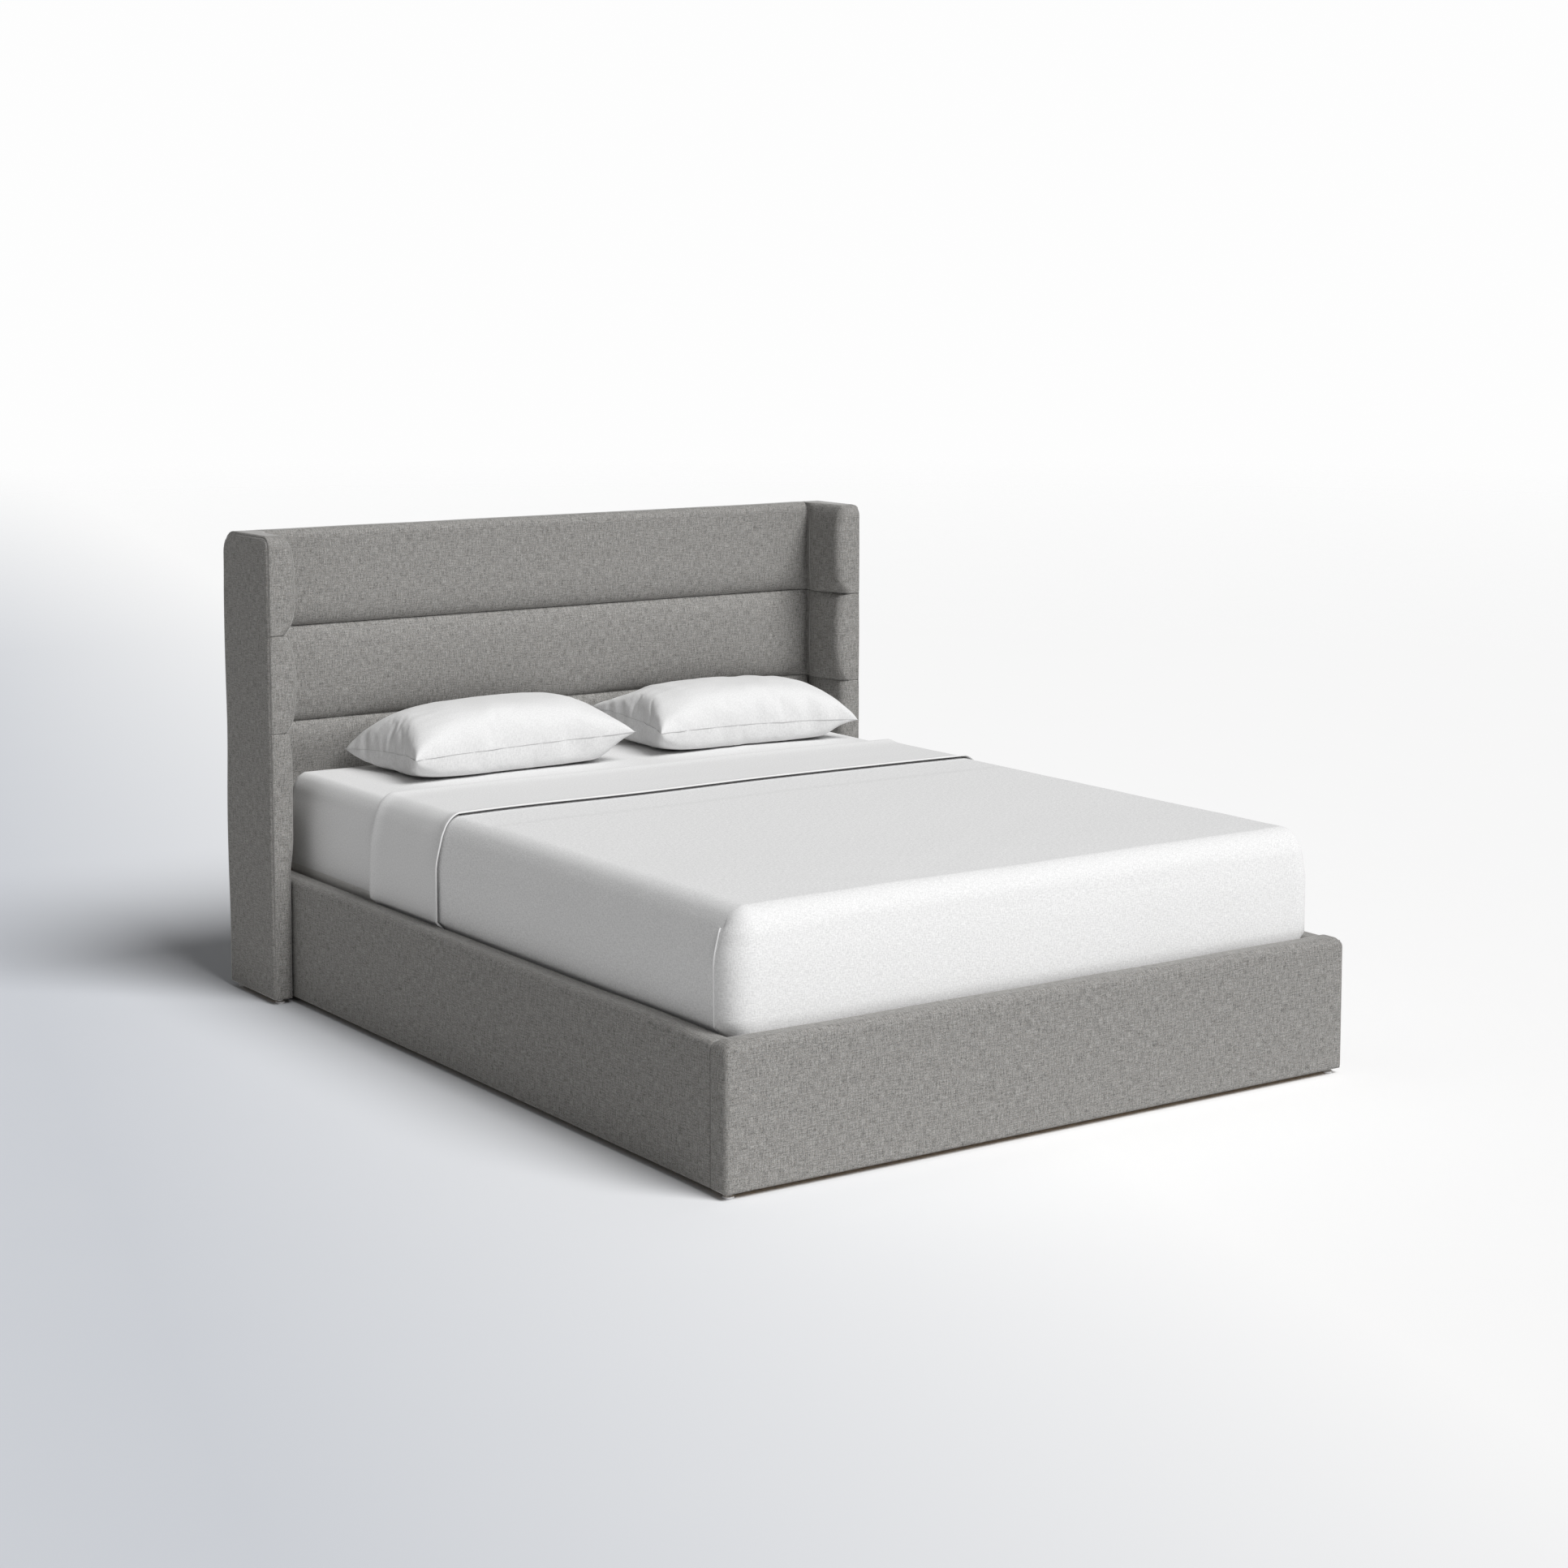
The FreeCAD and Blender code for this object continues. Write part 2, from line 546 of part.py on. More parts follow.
def main():
    os.makedirs("parts", exist_ok=True)
    save("footboard_core", footboard_core())
    save("footboard_cover", footboard_cover())
    for name, side in SIDES:
        save("side_rail_core_" + name, sided(side_rail_core(), side))
        save("side_rail_cover_" + name, sided(side_rail_cover(), side))
        save("slat_ledger_" + name, sided(slat_ledger(), side))
        save("headboard_stile_" + name, sided(stile(), side))
        save("wing_core_" + name, sided(wing_core(), side))
        save("wing_pad_top_" + name, sided(wing_pad_top(), side))
        save("wing_pad_middle_" + name, sided(wing_pad(SEAM_LOW, SEAM_HIGH, WING_CROWN), side))
        save("wing_pad_lower_" + name, sided(wing_pad(GROUND_GAP, SEAM_LOW, WING_FLAT), side))
        save("wing_side_cover_" + name, sided(wing_side_cover(), side))
    save("headboard_top_rail", headboard_rail(FRAME_TOP - 60, FRAME_TOP))
    save("headboard_middle_rail", headboard_rail(SEAM_LOW - 30, SEAM_LOW + 30))
    save("headboard_bottom_rail", drilled(headboard_rail(150, 262)))
    save("headboard_face_board", face_board())
    save("headboard_pad_top", top_channel_pad())
    save("headboard_pad_middle", channel_pad(SEAM_LOW, SEAM_HIGH))
    save("headboard_pad_lower", channel_pad(PAD_BOTTOM, SEAM_LOW))
    save("headboard_back_cover", back_cover())
    save("centre_beam", centre_beam())
    save("centre_leg_front", centre_leg(-LEG_Y))
    save("centre_leg_rear", centre_leg(LEG_Y))
    save("beam_hangers", beam_hanger(FOOT_CORE_BACK, -1), beam_hanger(FACE_FRONT, 1))
    save("corner_brackets", *[corner_bracket(side, wall, into) for side in (-1, 1)
                              for wall, into in ((FOOT_CORE_BACK, -1), (FACE_FRONT, 1))])
    save("frame_bolts", *([bolt(base, way, BOLT_GRIP) for base, way in corner_bolts() + hanger_bolts()]
                          + [bolt(base, way, WING_BOLT_GRIP) for base, way in wing_bolts()]))
    save("tee_nuts", *[tee_nut(x, y) for x, y in GLIDES.values()])
    for number, slat in enumerate(slats(), 1):
        save("slat_%02d" % number, slat)
    save("slat_tapes", *slat_tapes())
    for name, (x, y) in GLIDES.items():
        save(name, glide(x, y))
    save("mattress", mattress())
    save("fitted_sheet", layer(0, SHEET_THICK, MATTRESS_FOOT - SHEET_THICK, MATTRESS_HEAD + SHEET_THICK))
    blanket_out = SHEET_THICK + BLANKET_THICK
    save("blanket", layer(SHEET_THICK, BLANKET_THICK, MATTRESS_FOOT - blanket_out, FOLD_REAR))
    save("sheet_cuff", layer(blanket_out, CUFF_THICK, CUFF_FRONT, FOLD_REAR))
    for name, (x, y) in PILLOWS.items():
        save(name, pillow(x, y))


main()
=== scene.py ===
import json
import math

import bpy
import numpy as np
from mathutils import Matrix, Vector

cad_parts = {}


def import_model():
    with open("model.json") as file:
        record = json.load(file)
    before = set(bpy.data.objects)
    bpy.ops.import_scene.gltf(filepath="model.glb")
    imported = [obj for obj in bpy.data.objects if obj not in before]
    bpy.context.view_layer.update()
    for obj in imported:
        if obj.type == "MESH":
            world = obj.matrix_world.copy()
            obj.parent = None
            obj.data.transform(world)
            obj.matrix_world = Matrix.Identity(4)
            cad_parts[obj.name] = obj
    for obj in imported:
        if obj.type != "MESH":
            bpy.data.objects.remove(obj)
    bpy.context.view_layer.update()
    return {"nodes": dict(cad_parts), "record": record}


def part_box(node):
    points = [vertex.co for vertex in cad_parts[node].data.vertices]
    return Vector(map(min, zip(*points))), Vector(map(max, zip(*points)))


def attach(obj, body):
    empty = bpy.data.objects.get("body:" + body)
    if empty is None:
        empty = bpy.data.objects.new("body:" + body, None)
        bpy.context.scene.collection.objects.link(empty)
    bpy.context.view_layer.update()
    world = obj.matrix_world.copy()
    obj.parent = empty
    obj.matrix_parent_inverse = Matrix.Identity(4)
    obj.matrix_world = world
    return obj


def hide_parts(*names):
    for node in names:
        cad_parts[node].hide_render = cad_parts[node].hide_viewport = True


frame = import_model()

MM = 0.001
SIDES = (("left", -1), ("right", 1))


# ------------ mesh helpers

def new_object(name, mesh, material=None):
    obj = bpy.data.objects.new(name, mesh)
    bpy.context.scene.collection.objects.link(obj)
    for poly in mesh.polygons:
        poly.use_smooth = True
    if material:
        mesh.materials.append(material)
    return obj


def bake(obj, *modifiers):
    """Adds the modifiers, each (type, settings), and keeps their result as the object's own mesh."""
    for kind, settings in modifiers:
        mod = obj.modifiers.new(kind.title(), kind)
        for key, value in settings.items():
            setattr(mod, key, value)
    evaluated = obj.evaluated_get(bpy.context.evaluated_depsgraph_get())
    mesh = bpy.data.meshes.new_from_object(evaluated)
    obj.modifiers.clear()
    old, obj.data = obj.data, mesh
    bpy.data.meshes.remove(old)
    for poly in mesh.polygons:
        poly.use_smooth = True
    return obj


def cuts(lo, hi, step, near_lo=0.0, near_hi=0.0, fine=4 * MM):
    """Coordinates from lo to hi about step apart, and finer over near_lo and near_hi at the two ends."""
    parts = []
    spans = [(lo, lo + near_lo, fine), (lo + near_lo, hi - near_hi, step), (hi - near_hi, hi, fine)]
    for a, b, gap in spans:
        if b - a > 1e-6:
            count = max(1, int(round((b - a) / gap)))
            parts += list(np.linspace(a, b, count + 1)[:-1])
    return np.array(parts + [hi])


def box_grid(xs, ys, zs, keep):
    """A box's surface cut at the given coordinates: points, quads and one unrolled (u, v) per quad corner.
    keep(centre, normal) says which quads stay."""
    ids, points, quads, uvs = {}, [], [], []
    axes = (xs, ys, zs)

    def vertex(i, j, k):
        key = (i, j, k)
        if key not in ids:
            ids[key] = len(points)
            points.append((xs[i], ys[j], zs[k]))
        return ids[key]

    for axis in range(3):
        a, b = [(1, 2), (2, 0), (0, 1)][axis]
        for end in (0, len(axes[axis]) - 1):
            sign = 1 if end else -1
            for p in range(len(axes[a]) - 1):
                for q in range(len(axes[b]) - 1):
                    corners = [(p, q), (p + 1, q), (p + 1, q + 1), (p, q + 1)]
                    if sign < 0:
                        corners.reverse()
                    index = []
                    for cp, cq in corners:
                        triple = [0, 0, 0]
                        triple[axis], triple[a], triple[b] = end, cp, cq
                        index.append(tuple(triple))
                    where = [(xs[i], ys[j], zs[k]) for i, j, k in index]
                    centre = tuple(sum(w[n] for w in where) / 4 for n in range(3))
                    normal = tuple(sign if n == axis else 0 for n in range(3))
                    if keep and not keep(centre, normal):
                        continue
                    quads.append([vertex(*t) for t in index])
                    if axis == 0:
                        uvs += [(w[1], w[2]) for w in where]
                    elif axis == 1:
                        uvs += [(w[0], w[2]) for w in where]
                    else:
                        uvs += [(w[0], zs[-1] + w[1] - ys[0]) for w in where]
    return np.array(points), quads, uvs


def block(name, xs, ys, zs, shape, material, keep=None, thick=None, flip=False):
    """A soft piece: a box's surface cut at xs, ys, zs, moved by shape(points), thickened inwards where it
    is open, and mirrored to the other side of the bed when flip is set."""
    points, quads, uvs = box_grid(xs, ys, zs, keep)
    points = shape(points.copy())
    if flip:
        points = points * (-1, 1, 1)
        quads = [q[::-1] for q in quads]
        uvs = [uv for n in range(0, len(uvs), 4) for uv in reversed(uvs[n:n + 4])]
    mesh = bpy.data.meshes.new(name)
    mesh.from_pydata([tuple(p) for p in points], [], quads)
    layer = mesh.uv_layers.new(name="cloth")
    layer.data.foreach_set("uv", np.array(uvs, np.float32).ravel())
    obj = new_object(name, mesh, material)
    if thick:
        bake(obj, ("SOLIDIFY", {"thickness": thick, "offset": -1.0}))
    return obj


def round_edge(points, plane, corner, inside, radius):
    """Rolls a sharp edge of a box over to a radius: plane holds the two axes across the edge, corner
    where it is, and inside the signs towards the middle of the box."""
    i, j = plane
    a = radius - inside[0] * (points[:, i] - corner[0])
    b = radius - inside[1] * (points[:, j] - corner[1])
    hit = (a > 0) & (b > 0)
    long = np.hypot(a, b)
    k = np.where(hit, np.maximum(a, b) / np.maximum(long, 1e-9), 1.0)
    points[:, i] = np.where(hit, corner[0] + inside[0] * (radius - a * k), points[:, i])
    points[:, j] = np.where(hit, corner[1] + inside[1] * (radius - b * k), points[:, j])
    return points


def swell(t, power):
    """How far a stuffed channel stands out across its width: 0 at its seams (t = -1, 1) and 1 at its
    crown."""
    return np.sqrt(np.clip(1 - np.abs(t) ** power, 0, 1))


def smooth(x, lo, hi):
    """0 below lo, 1 above hi, and a smooth step between."""
    s = np.clip((x - lo) / (hi - lo), 0, 1)
    return s * s * (3 - 2 * s)


def waves(points, seed, length, count=10):
    """Gentle unevenness from -1 to 1: waves of about the given length in seeded directions."""
    rng = np.random.RandomState(seed)
    total = np.zeros(len(points))
    for _ in range(count):
        way = rng.normal(size=3)
        way /= np.linalg.norm(way)
        pitch = length * rng.uniform(0.7, 1.6)
        total += np.sin(points @ way * 2 * math.pi / pitch + rng.uniform(0, 2 * math.pi))
    return total / count ** 0.5 / 1.6


# ------------ materials

class Nodes:
    """A short way to write a material's node tree."""

    def __init__(self, name):
        self.material = bpy.data.materials.new(name)
        self.material.use_nodes = True
        self.tree = self.material.node_tree
        self.shader = self.tree.nodes["Principled BSDF"]

    def add(self, kind, links=None, **settings):
        node = self.tree.nodes.new("ShaderNode" + kind)
        for key, value in settings.items():
            setattr(node, key, value)
        for key, value in (links or {}).items():
            self.plug(node, key, value)
        return node

    def plug(self, node, key, value):
        socket = node.inputs[key]
        if isinstance(value, bpy.types.NodeSocket):
            self.tree.links.new(value, socket)
        else:
            socket.default_value = value

    def math(self, operation, a, b):
        return self.add("Math", {0: a, 1: b}, operation=operation).outputs[0]

    def mix(self, factor, a, b, blend="MIX"):
        node = self.add("Mix", data_type="RGBA", blend_type=blend)
        for key, value in ((0, factor), (6, a), (7, b)):
            self.plug(node, key, value)
        return node.outputs[2]

    def noise(self, vector, scale, detail=2.0, rough=0.5):
        links = {"Vector": vector, "Scale": scale, "Detail": detail, "Roughness": rough}
        return self.add("TexNoise", links).outputs["Fac"]

    def stretched(self, vector, scale):
        return self.add("Mapping", {"Vector": vector, "Scale": scale}).outputs[0]

    def span(self, value, lo, hi, to_lo=0.0, to_hi=1.0):
        links = {"Value": value, "From Min": lo, "From Max": hi, "To Min": to_lo, "To Max": to_hi}
        return self.add("MapRange", links).outputs[0]

    def finish(self, bump=None, distance=0.001, strength=1.0, **values):
        for key, value in values.items():
            self.plug(self.shader, key.replace("_", " "), value)
        if bump is not None:
            node = self.add("Bump", {"Height": bump, "Distance": distance, "Strength": strength})
            self.tree.links.new(node.outputs["Normal"], self.shader.inputs["Normal"])
        return self.material


def grey_cloth():
    """Heathered grey upholstery weave: uneven warp and weft yarns, warm and cool flecks, and a painted rim
    highlight that mixes the colour towards near white where the surface is seen edge on, besides the
    shader's own sheen."""
    n = Nodes("grey_upholstery")
    uv = n.add("UVMap", uv_map="cloth").outputs[0]
    warp = n.noise(n.stretched(uv, (760, 230, 1)), 1.0, 2.0, 0.7)
    weft = n.noise(n.stretched(uv, (230, 760, 1)), 1.0, 2.0, 0.7)
    warp_slub = n.noise(n.stretched(uv, (420, 42, 1)), 1.0, 2.0, 0.6)
    weft_slub = n.noise(n.stretched(uv, (42, 420, 1)), 1.0, 2.0, 0.6)
    fleck = n.noise(uv, 520.0, 2.0, 0.7)
    mottle = n.noise(uv, 70.0, 3.0, 0.6)
    threads = n.math("ADD", n.math("MULTIPLY", warp, 0.55), n.math("MULTIPLY", weft, 0.55))
    slubs = n.math("ADD", n.math("MULTIPLY", warp_slub, 0.52), n.math("MULTIPLY", weft_slub, 0.44))
    fine = n.math("ADD", n.math("MULTIPLY", fleck, 0.48), n.math("MULTIPLY", mottle, 0.05))
    value = n.math("ADD", n.math("ADD", threads, slubs), fine)
    tone = n.span(value, 1.055, 1.535)
    base = n.mix(tone, (0.085, 0.083, 0.079, 1), (0.462, 0.453, 0.436, 1))
    warm = n.span(n.noise(uv, 300.0, 1.0), 0.58, 0.74)
    cool = n.span(n.noise(uv, 230.0, 1.0), 0.60, 0.76)
    base = n.mix(n.math("MULTIPLY", warm, 0.35), base, (0.40, 0.335, 0.28, 1))
    base = n.mix(n.math("MULTIPLY", cool, 0.30), base, (0.24, 0.265, 0.29, 1))
    # painted highlight: the colour is mixed towards near white on surfaces seen edge on, standing in for
    # light caught along the cloth's edges
    painted_rim_highlight = n.math("POWER", n.add("LayerWeight", {"Blend": 0.5}).outputs["Facing"], 10.0)
    base = n.mix(painted_rim_highlight, base, (0.93, 0.92, 0.90, 1))
    weave = n.math("ADD", n.math("ADD", warp, weft), fleck)
    return n.finish(bump=n.math("ADD", weave, slubs), distance=0.0006, strength=0.5, Base_Color=base,
                    Roughness=0.95, Specular_IOR_Level=0.12, Sheen_Weight=0.6, Sheen_Roughness=0.2)


def white_cloth(name, tint, fine=1100.0, mottle=0.03, bump=0.0003):
    """Smooth white bed linen with a fine weave."""
    n = Nodes(name)
    uv = n.add("UVMap", uv_map="cloth").outputs[0]
    warp = n.noise(n.stretched(uv, (fine, fine / 9, 1)), 1.0, 1.0)
    weft = n.noise(n.stretched(uv, (fine / 9, fine, 1)), 1.0, 1.0)
    cloud = n.noise(uv, 260.0, 3.0, 0.7)
    weave = n.math("ADD", warp, weft)
    value = n.span(n.math("ADD", n.math("MULTIPLY", weave, 0.5), cloud), 0.82, 1.18)
    dark = tuple(c * (1 - 4 * mottle) for c in tint) + (1,)
    light = tuple(min(1, c * (1 + mottle)) for c in tint) + (1,)
    return n.finish(bump=n.math("ADD", weave, cloud), distance=bump, strength=0.6,
                    Base_Color=n.mix(value, dark, light), Roughness=0.9, Specular_IOR_Level=0.2)


def wood(name, axis, light, dark, ring=26.0):
    """Sawn wood with its grain along one axis."""
    n = Nodes(name)
    where = n.add("TexCoord").outputs["Object"]
    along = [ring, ring, ring]
    along[axis] = 1.6
    grain = n.noise(n.stretched(where, tuple(along)), 1.0, 5.0, 0.6)
    lines = [c * 9 for c in along]
    lines[axis] = 3.0
    pores = n.noise(n.stretched(where, tuple(lines)), 1.0, 2.0, 0.5)
    tone = n.math("ADD", n.math("MULTIPLY", grain, 0.75), n.math("MULTIPLY", pores, 0.35))
    colour = n.mix(n.span(tone, 0.38, 0.75), dark + (1,), light + (1,))
    return n.finish(bump=tone, distance=0.0006, strength=0.5, Base_Color=colour,
                    Roughness=n.span(pores, 0.2, 0.8, 0.55, 0.75))


def metal(name, colour, rough, scratch, pure=1.0):
    """Metal with faint brushing. pure is how metallic its surface is, less where it is dull or dusty."""
    n = Nodes(name)
    where = n.add("TexCoord").outputs["Object"]
    fine = n.noise(n.stretched(where, (900, 900, 140)), 1.0, 3.0)
    cloud = n.noise(where, 60.0, 3.0)
    shade = n.mix(n.span(cloud, 0.3, 0.7), tuple(c * 0.88 for c in colour) + (1,), colour + (1,))
    return n.finish(bump=fine, distance=0.0001, strength=scratch, Base_Color=shade, Metallic=pure,
                    Roughness=n.span(cloud, 0.3, 0.7, rough * 0.8, rough * 1.3))


def thread(name, colour):
    """Twisted sewing thread or piping."""
    n = Nodes(name)
    where = n.add("TexCoord").outputs["Object"]
    twist = n.noise(n.stretched(where, (1800, 1800, 1800)), 1.0, 1.0)
    shade = n.mix(twist, tuple(c * 0.8 for c in colour) + (1,), colour + (1,))
    return n.finish(bump=twist, distance=0.0002, Base_Color=shade, Roughness=0.8)


def webbing():
    """Dark ribbed tape."""
    n = Nodes("webbing")
    where = n.add("TexCoord").outputs["Object"]
    wave = n.add("TexWave", {"Vector": where, "Scale": 260.0, "Distortion": 0.6}, bands_direction="Y")
    ribs = wave.outputs["Fac"]
    fuzz = n.noise(where, 500.0, 2.0)
    shade = n.mix(n.math("MULTIPLY", ribs, 0.6), (0.045, 0.045, 0.048, 1), (0.11, 0.11, 0.115, 1))
    return n.finish(bump=n.math("ADD", ribs, fuzz), distance=0.0005, Base_Color=shade, Roughness=0.9)


GREY = grey_cloth()
SHEET = white_cloth("pale_sheet", (0.82, 0.82, 0.82))
BLANKET = white_cloth("white_blanket", (0.86, 0.86, 0.86), fine=700.0, mottle=0.045, bump=0.0006)
COTTON = white_cloth("pillow_cotton", (0.80, 0.80, 0.80))
TICKING = white_cloth("mattress_ticking", (0.72, 0.71, 0.69), fine=500.0, bump=0.001)
STITCH = thread("seam_thread", (0.40, 0.39, 0.375))
# painted shade: a grey darker than the pillow cotton, standing in for the shade in the crease along the
# pillows' seams
PILLOW_SEAM_SHADE = thread("linen_seam_painted_shade", (0.62, 0.62, 0.62))
# painted highlight: a brighter white than the sheet and blanket, standing in for light caught on their
# rolled and folded edges
LINEN_EDGE_HIGHLIGHT = thread("linen_edge_painted_highlight", (0.93, 0.93, 0.93))
STEEL = metal("zinc_steel", (0.62, 0.62, 0.60), 0.38, 0.4)
CHROME = metal("chrome", (0.90, 0.90, 0.91), 0.30, 0.1, 0.4)
TAPE = webbing()
PINE = {axis: wood("pine_%s" % "xyz"[axis], axis, (0.66, 0.47, 0.28), (0.45, 0.28, 0.14))
        for axis in range(3)}
PLY = {axis: wood("plywood_%s" % "xyz"[axis], axis, (0.56, 0.42, 0.27), (0.40, 0.28, 0.16), ring=14.0)
       for axis in range(3)}


def soft(obj, body, nodes=()):
    """Says which body a piece moves with and the CAD nodes it stands for, which it hides."""
    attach(obj, body)
    if nodes:
        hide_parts(*nodes)
    return obj


# ------------ the frame's hard parts

def dress_hard_parts():
    """Gives the CAD parts of wood and metal their materials, each board's grain along its longest side."""
    kinds = {"pine": PINE, "plywood": PLY}
    metals = {"zinc_steel": STEEL, "chrome": CHROME}
    slots = {part["node"]: part["material_slot"] for part in frame["record"]["subparts"]}
    for node, obj in frame["nodes"].items():
        kind = slots[node]
        if kind in kinds:
            lo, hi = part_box(node)
            longest = max(range(3), key=lambda n: hi[n] - lo[n])
            material = kinds[kind][longest]
        elif kind in metals:
            material = metals[kind]
        else:
            continue
        for place in obj.material_slots:
            place.material = material


dress_hard_parts()


# ------------ headboard channels

head_lo, head_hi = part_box("headboard_pad_middle")
top_lo, top_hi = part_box("headboard_pad_top")
low_lo, low_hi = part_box("headboard_pad_lower")
PAD_HALF = head_hi[0]
PAD_FRONT, PAD_BACK = head_lo[1], head_hi[1]
SEAM_LOW, SEAM_HIGH = head_lo[2], head_hi[2]
TOP = top_hi[2]
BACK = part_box("headboard_back_cover")[1][1]
SEAM_GAP = 0.3 * MM  # between one channel's cloth and the next
SEAM_DEPTH = 27 * MM  # how far the cloth is drawn in at a seam
END_ROUND = 8 * MM
TOP_ROUND, BACK_ROUND = 22 * MM, 58 * MM  # along the headboard's top edge, front and back
LOW_REACH = 5.5 * MM  # how far the lowest channel goes on below its pad
LOW_LEAN = 30 * MM  # how far back that channel's foot leans
UNDER_PANEL = 36 * MM  # how far the top cloth runs down under the back panel
COVER_THICK = 6 * MM


def headboard_shape(z0, z1, seed, kind):
    """The front of one headboard channel: full at its crown, drawn in to the seams above and below. The
    lowest one leans back behind the mattress."""
    def shape(p):
        depth = np.clip((PAD_BACK - p[:, 1]) / (PAD_BACK - PAD_FRONT), 0, 1)
        t = (p[:, 2] - (z0 + z1) / 2) / ((z1 - z0) / 2)
        if kind == "top":
            t = np.minimum(t + 0.25, 0) / 0.75
        if kind == "lower":
            t = np.maximum((p[:, 2] - (z1 - 0.12)) / 0.12, 0)
        out = swell(t, 2.8)
        near_end = np.abs(p[:, 0]) - (PAD_HALF - END_ROUND)
        ends = swell(np.clip(near_end / END_ROUND, 0, 1), 2.0)
        tucked = 1 - 0.6 * smooth(near_end, -50 * MM, 0)
        pucker = 1.0 * MM * waves(p * (1, 0, 0.3), seed, 0.13) * (1 - np.abs(t)) ** 0.5
        sag = 1.0 * MM * waves(p, seed + 1, 0.5)
        lean = LOW_LEAN * smooth(-p[:, 2], -z1, -z1 + 150 * MM) if kind == "lower" else 0
        p[:, 1] += depth * (SEAM_DEPTH * tucked * (1 - out) + 2.5 * MM * (1 - ends) + pucker + sag + lean)
        return p
    return shape


def headboard_plain(kind, z0, z1, seed):
    xs = cuts(-PAD_HALF, PAD_HALF, 14 * MM, END_ROUND, END_ROUND)
    ys = cuts(PAD_FRONT, PAD_BACK, 10 * MM)
    bottom = z0 - LOW_REACH if kind == "lower" else z0 + SEAM_GAP
    zs = cuts(bottom, z1 - SEAM_GAP, 9 * MM, 24 * MM, 24 * MM, 3 * MM)
    obj = block("headboard_channel_" + kind, xs, ys, zs, headboard_shape(z0, z1, seed, kind), GREY)
    soft(obj, "frame", ["headboard_pad_" + kind])


def top_back(p):
    return round_edge(p, (1, 2), (BACK, TOP), (-1, -1), BACK_ROUND)


def headboard_top():
    z0, z1 = top_lo[2] + 0.4 * MM, TOP
    xs = cuts(-PAD_HALF, PAD_HALF, 14 * MM, END_ROUND, END_ROUND)
    ys = cuts(PAD_FRONT, BACK, 10 * MM, 30 * MM, 20 * MM)
    zs = cuts(z0, z1, 9 * MM, 24 * MM, 30 * MM, 3 * MM)
    inner = headboard_shape(top_lo[2], z1, 11, "top")

    def shape(p):
        p = inner(p)
        p = round_edge(p, (1, 2), (PAD_FRONT, TOP), (1, -1), TOP_ROUND)
        for side in (-1, 1):
            p = round_edge(p, (0, 2), (side * PAD_HALF, TOP), (-side, -1), 9 * MM)
        crown = smooth(p[:, 2], TOP - 20 * MM, TOP)
        p[:, 2] += crown * 0.8 * MM * waves(p, 14, 0.3)
        return top_back(p)

    def keep(c, n):
        if n[1] > 0:
            return c[2] > TOP - UNDER_PANEL
        return n[2] >= 0 or c[1] < PAD_BACK

    obj = block("headboard_channel_top", xs, ys, zs, shape, GREY, keep, thick=COVER_THICK)
    soft(obj, "frame", ["headboard_pad_top"])


headboard_top()
headboard_plain("middle", SEAM_LOW, SEAM_HIGH, 21)
headboard_plain("lower", low_lo[2], low_hi[2], 31)


# ------------ wings (built on the right, then mirrored)

wing_lo, wing_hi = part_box("wing_pad_top_right")
lowwing_lo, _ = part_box("wing_pad_lower_right")
panel_lo, panel_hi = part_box("wing_side_cover_right")
WING_CROWN, WING_OUT = wing_lo[0], wing_hi[0]
WING_FLAT = lowwing_lo[0]
WING_FRONT = wing_lo[1]
FLOOR_GAP = lowwing_lo[2]
WING_LIP = 7 * MM  # how far the cloth turns over the outer edge
WING_ROUND = 30 * MM
WING_SWELL = 9.5 * MM  # how far the channels stand out past their pads
SHOULDER = 34 * MM  # how far the inner face falls away at the very top


